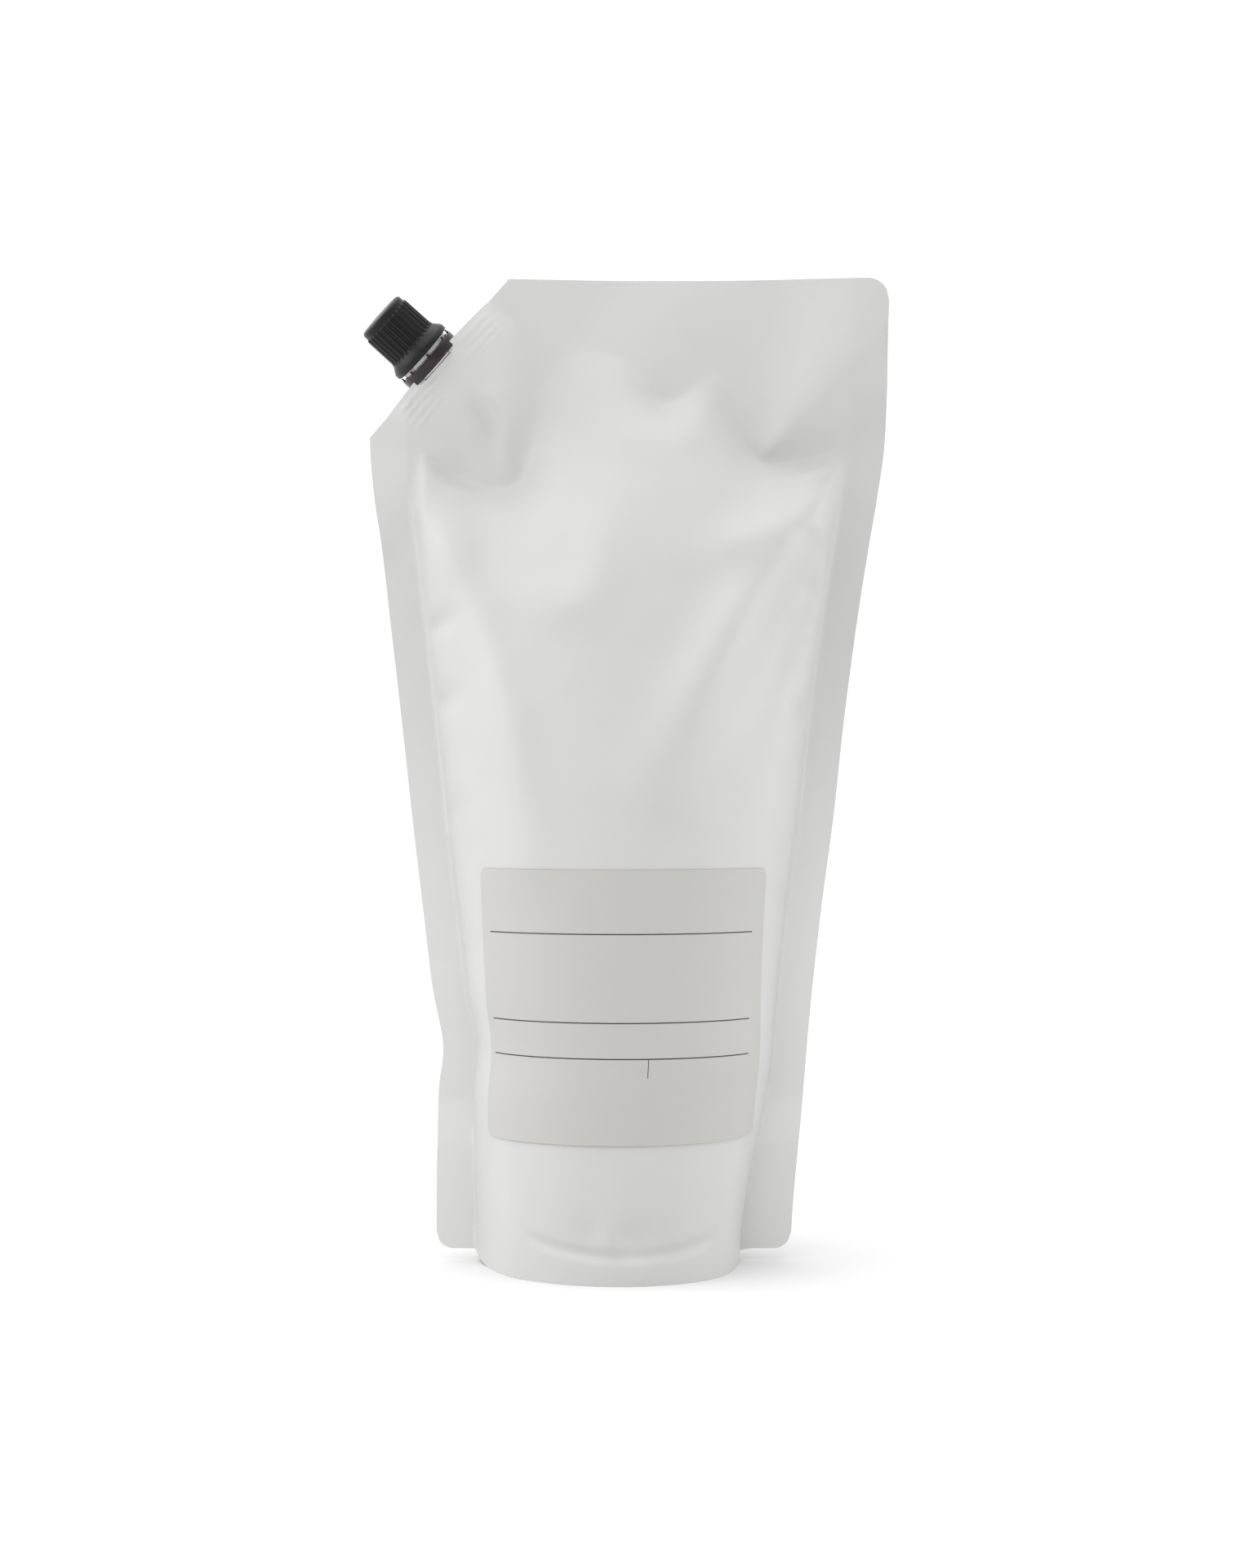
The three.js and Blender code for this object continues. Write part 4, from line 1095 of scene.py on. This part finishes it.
class POUCH_OT_screw_cap(bpy.types.Operator):
    """The ribbed screw cap, hollow and threaded inside"""

    bl_idname = "pouch.screw_cap"
    bl_label = "Screw cap"

    def execute(self, context):
        around = RIB_COUNT * 14
        angle = 2 * math.pi * np.arange(around) / around
        outer = self.outer_profile()
        radius = outer[:, :1] + self.ribs(outer[:, 1:], angle)
        inner = self.inner_profile()
        thread = self.thread(inner[:, 1:], angle) * (inner[:, :1] == CAP_INNER)
        radius = np.concatenate([radius, inner[:, :1] - thread])
        height = np.concatenate([outer[:, 1:], inner[:, 1:]]) + 0 * radius
        points = np.stack([radius * np.cos(angle), radius * np.sin(angle), height + CAP_START], axis=-1)
        rows = len(points)
        faces = [list(f) for f in grid_faces(rows, around, closed_columns=True)]
        faces += [[(rows - 1) * around + k for k in range(around)], list(range(around))[::-1]]
        piece = new_mesh("screw_cap", points, faces, 35)
        piece.matrix_world = spout_matrix()
        material = closure_material("cap_plastic", context.scene.pouch_closure.colour, *CAP_FINISH)
        dress(piece, "cap", material, ["cap"])
        return {"FINISHED"}

    def outer_profile(self):
        """From the middle of the top, over the rim and down the outside to the skirt's lower edge."""
        top = CAP_BODY_RADIUS - CAP_TAPER
        turn = np.linspace(math.pi / 2, 0, 9)
        profile = [(CAP_HUB_RADIUS, CAP_HEIGHT), (top * 0.5, CAP_HEIGHT)]
        profile += [(top - 1.6 * MM, CAP_HEIGHT), (top - 1.35 * MM, CAP_HEIGHT - 0.12 * MM)]
        profile += [
            (top - CAP_EDGE_RADIUS * (1 - math.cos(a)), CAP_HEIGHT - CAP_EDGE_RADIUS * (1 - math.sin(a)))
            for a in turn
        ]
        for h in np.linspace(CAP_HEIGHT - 1.15 * MM, CAP_SHOULDER_HEIGHT + 0.1 * MM, 60):
            profile.append((CAP_BODY_RADIUS - CAP_TAPER * h / CAP_HEIGHT, h))
        for u in np.linspace(0, 1, 16):
            flare = 0.75 * u + 0.25 * math.sin(u * math.pi / 2)
            profile.append((
                CAP_BODY_RADIUS + (CAP_SKIRT_RADIUS - CAP_BODY_RADIUS) * flare,
                CAP_SHOULDER_HEIGHT - (CAP_SHOULDER_HEIGHT - CAP_SKIRT_STRAIGHT) * u,
            ))
        profile.append((CAP_SKIRT_RADIUS, CAP_FOOT + CAP_FOOT_EDGE))
        profile.append((CAP_SKIRT_RADIUS - CAP_FOOT_EDGE, CAP_FOOT))
        return np.array(profile)

    def inner_profile(self):
        """From the skirt's lower edge up the inside and along the ceiling to its middle."""
        mouth = CAP_SKIRT_RADIUS - CAP_SKIRT_WALL
        slope = CAP_SKIRT_DEPTH - (mouth - CAP_INNER) * 0.4
        profile = [(mouth, CAP_FOOT), (mouth, slope), (CAP_INNER, CAP_SKIRT_DEPTH)]
        ceiling = CAP_HEIGHT - CAP_TOP_WALL
        profile += [(CAP_INNER, h) for h in np.linspace(CAP_SKIRT_DEPTH + 0.2 * MM, ceiling, 48)]
        return np.array(profile + [(CAP_HUB_RADIUS, ceiling)])

    def ribs(self, height, angle):
        """How far the grip ribs stand out."""
        top = CAP_HEIGHT - RIB_TOP_GAP
        wave = np.abs((angle * RIB_COUNT / (2 * math.pi) + 0.5) % 1 - 0.5) * 2
        end = np.clip((top - height) / (0.5 * MM), 0, 1)
        flank = 1 - smooth(wave + 0.3 * (1 - end), 0.3, 0.72)
        low = smooth(height, CAP_SHOULDER_HEIGHT - 0.9 * MM, CAP_SHOULDER_HEIGHT)
        on_wall = height < top + 1e-9
        return RIB_RISE * flank * low * on_wall * np.sqrt(end)

    def thread(self, height, angle):
        """How far the thread stands in from the wall."""
        start = NECK_LENGTH - 2 * MM - 1.5 * THREAD_PITCH - CAP_START - THREAD_PITCH / 2
        turn = (height - start) / THREAD_PITCH - angle / (2 * math.pi)
        off = np.abs(turn - np.round(turn)) * THREAD_PITCH
        whole = (np.round(turn) == 0) * smooth(angle, 0, 0.9) * (1 - smooth(angle, 5.4, 6.25))
        return THREAD_DEPTH * (1 - smooth(off, 0.25 * MM, 0.7 * MM)) * whole


class POUCH_OT_tamper_band(bpy.types.Operator):
    """The tamper band on the neck, with the bridges to the cap"""

    bl_idname = "pouch.tamper_band"
    bl_label = "Tamper band"

    def execute(self, context):
        outer, inner = CAP_SKIRT_RADIUS, CAP_SKIRT_RADIUS - BAND_WALL
        lip = outer - BAND_LIP_OVERHANG
        low, high = BAND_START, BAND_START + BAND_HEIGHT
        bevel = BAND_EDGE * 0.3
        profile = [
            (inner, low), (outer - BAND_EDGE, low), (outer - bevel, low + bevel), (outer, low + BAND_EDGE),
            (outer, high - BAND_EDGE), (outer - bevel, high - bevel), (outer - BAND_EDGE, high),
            (inner, high), (inner, BAND_LIP[1]), (lip, BAND_LIP[1]), (lip, BAND_LIP[0]),
            (inner, BAND_LIP[0]),
        ]
        ring = turned_mesh("tamper_band_ring", profile, 144)
        ring.matrix_world = spout_matrix()
        colour = context.scene.pouch_closure.band_colour
        material = closure_material("band_plastic", colour, *BAND_FINISH)
        dress(ring, "pouch", material, ["tamper_band"])
        self.bridges(material, (inner + outer) / 2, high)
        self.collar(high)
        return {"FINISHED"}

    def collar(self, low):
        """The pale collar on the neck that shows in the gap under the cap."""
        inner, side = NECK_RADIUS + COLLAR_GAP, COLLAR_RADIUS - COLLAR_EDGE
        low += COLLAR_GAP
        high = low + COLLAR_HEIGHT
        profile = [
            (inner, low), (side, low), (COLLAR_RADIUS, low + COLLAR_EDGE),
            (COLLAR_RADIUS, high - COLLAR_EDGE), (side, high), (inner, high),
        ]
        piece = turned_mesh("neck_collar", profile, 120)
        piece.matrix_world = spout_matrix()
        colour = bpy.context.scene.pouch_closure.spout_colour
        dress(piece, "pouch", moulded_material("collar_plastic", colour, 0.3))

    def bridges(self, material, radius, high):
        """Thin tapered stubs that end just short of the cap."""
        section = [(-1, -1), (1, -1), (1, 1), (-1, 1)]
        levels = [(-0.3, 1.1), (0.1, 1.0), (0.45, 0.5), (1.0, 0.7)]
        vertices, faces = [], []
        for k in range(BRIDGE_COUNT):
            turn = Matrix.Rotation(2 * math.pi * k / BRIDGE_COUNT, 4, "Z")
            start = len(vertices)
            for h, w in levels:
                for a, b in section:
                    x, y = radius + a * w * BRIDGE_HALF_DEPTH, b * w * BRIDGE_HALF_WIDTH
                    vertices.append(turn @ Vector((x, y, high + h * MM)))
            faces += [list(f + start) for f in grid_faces(len(levels), 4, closed_columns=True)]
            last = start + 4 * (len(levels) - 1)
            faces += [[start + 3, start + 2, start + 1, start], [last, last + 1, last + 2, last + 3]]
        piece = new_mesh("band_bridges", [tuple(v) for v in vertices], faces, 50)
        piece.matrix_world = spout_matrix()
        dress(piece, "pouch", material)


class POUCH_OT_spout_and_liner(bpy.types.Operator):
    """Finishes of the moulded spout and of the sealing disc in the cap"""

    bl_idname = "pouch.spout_and_liner"
    bl_label = "Spout and liner"

    def execute(self, context):
        colour = context.scene.pouch_closure.spout_colour
        finishes = {
            "spout": moulded_material("natural_plastic", colour, 0.35),
            "cap_liner": moulded_material("liner_foam", (0.86, 0.86, 0.83), 0.7),
        }
        for node, material in finishes.items():
            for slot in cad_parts[node].material_slots:
                slot.material = material
        return {"FINISHED"}


OPERATORS = [
    POUCH_OT_stage,
    POUCH_OT_film_pouch,
    POUCH_OT_label,
    POUCH_OT_label_rules,
    POUCH_OT_screw_cap,
    POUCH_OT_tamper_band,
    POUCH_OT_spout_and_liner,
]
SETTINGS = {
    "pouch_stage": StageSettings,
    "pouch_film": FilmSettings,
    "pouch_label": LabelSettings,
    "pouch_closure": ClosureSettings,
}


class POUCH_PT_pieces(bpy.types.Panel):
    """Lists the pouch's settings and pieces"""

    bl_label = "Refill pouch"
    bl_space_type = "VIEW_3D"
    bl_region_type = "UI"
    bl_category = "Pouch"

    def draw(self, context):
        for name, group in SETTINGS.items():
            box = self.layout.box()
            for key in group.__annotations__:
                box.prop(getattr(context.scene, name), key)
        for operator in OPERATORS:
            self.layout.operator(operator.bl_idname)


def register():
    for group in SETTINGS.values():
        bpy.utils.register_class(group)
    for name, group in SETTINGS.items():
        setattr(bpy.types.Scene, name, bpy.props.PointerProperty(type=group))
    for operator in OPERATORS:
        bpy.utils.register_class(operator)
    bpy.utils.register_class(POUCH_PT_pieces)


def unregister():
    bpy.utils.unregister_class(POUCH_PT_pieces)
    for operator in reversed(OPERATORS):
        bpy.utils.unregister_class(operator)
    for name, group in SETTINGS.items():
        delattr(bpy.types.Scene, name)
        bpy.utils.unregister_class(group)


def main():
    register()
    for operator in OPERATORS:
        group, name = operator.bl_idname.split(".")
        getattr(getattr(bpy.ops, group), name)()


if __name__ == "__main__":
    main()
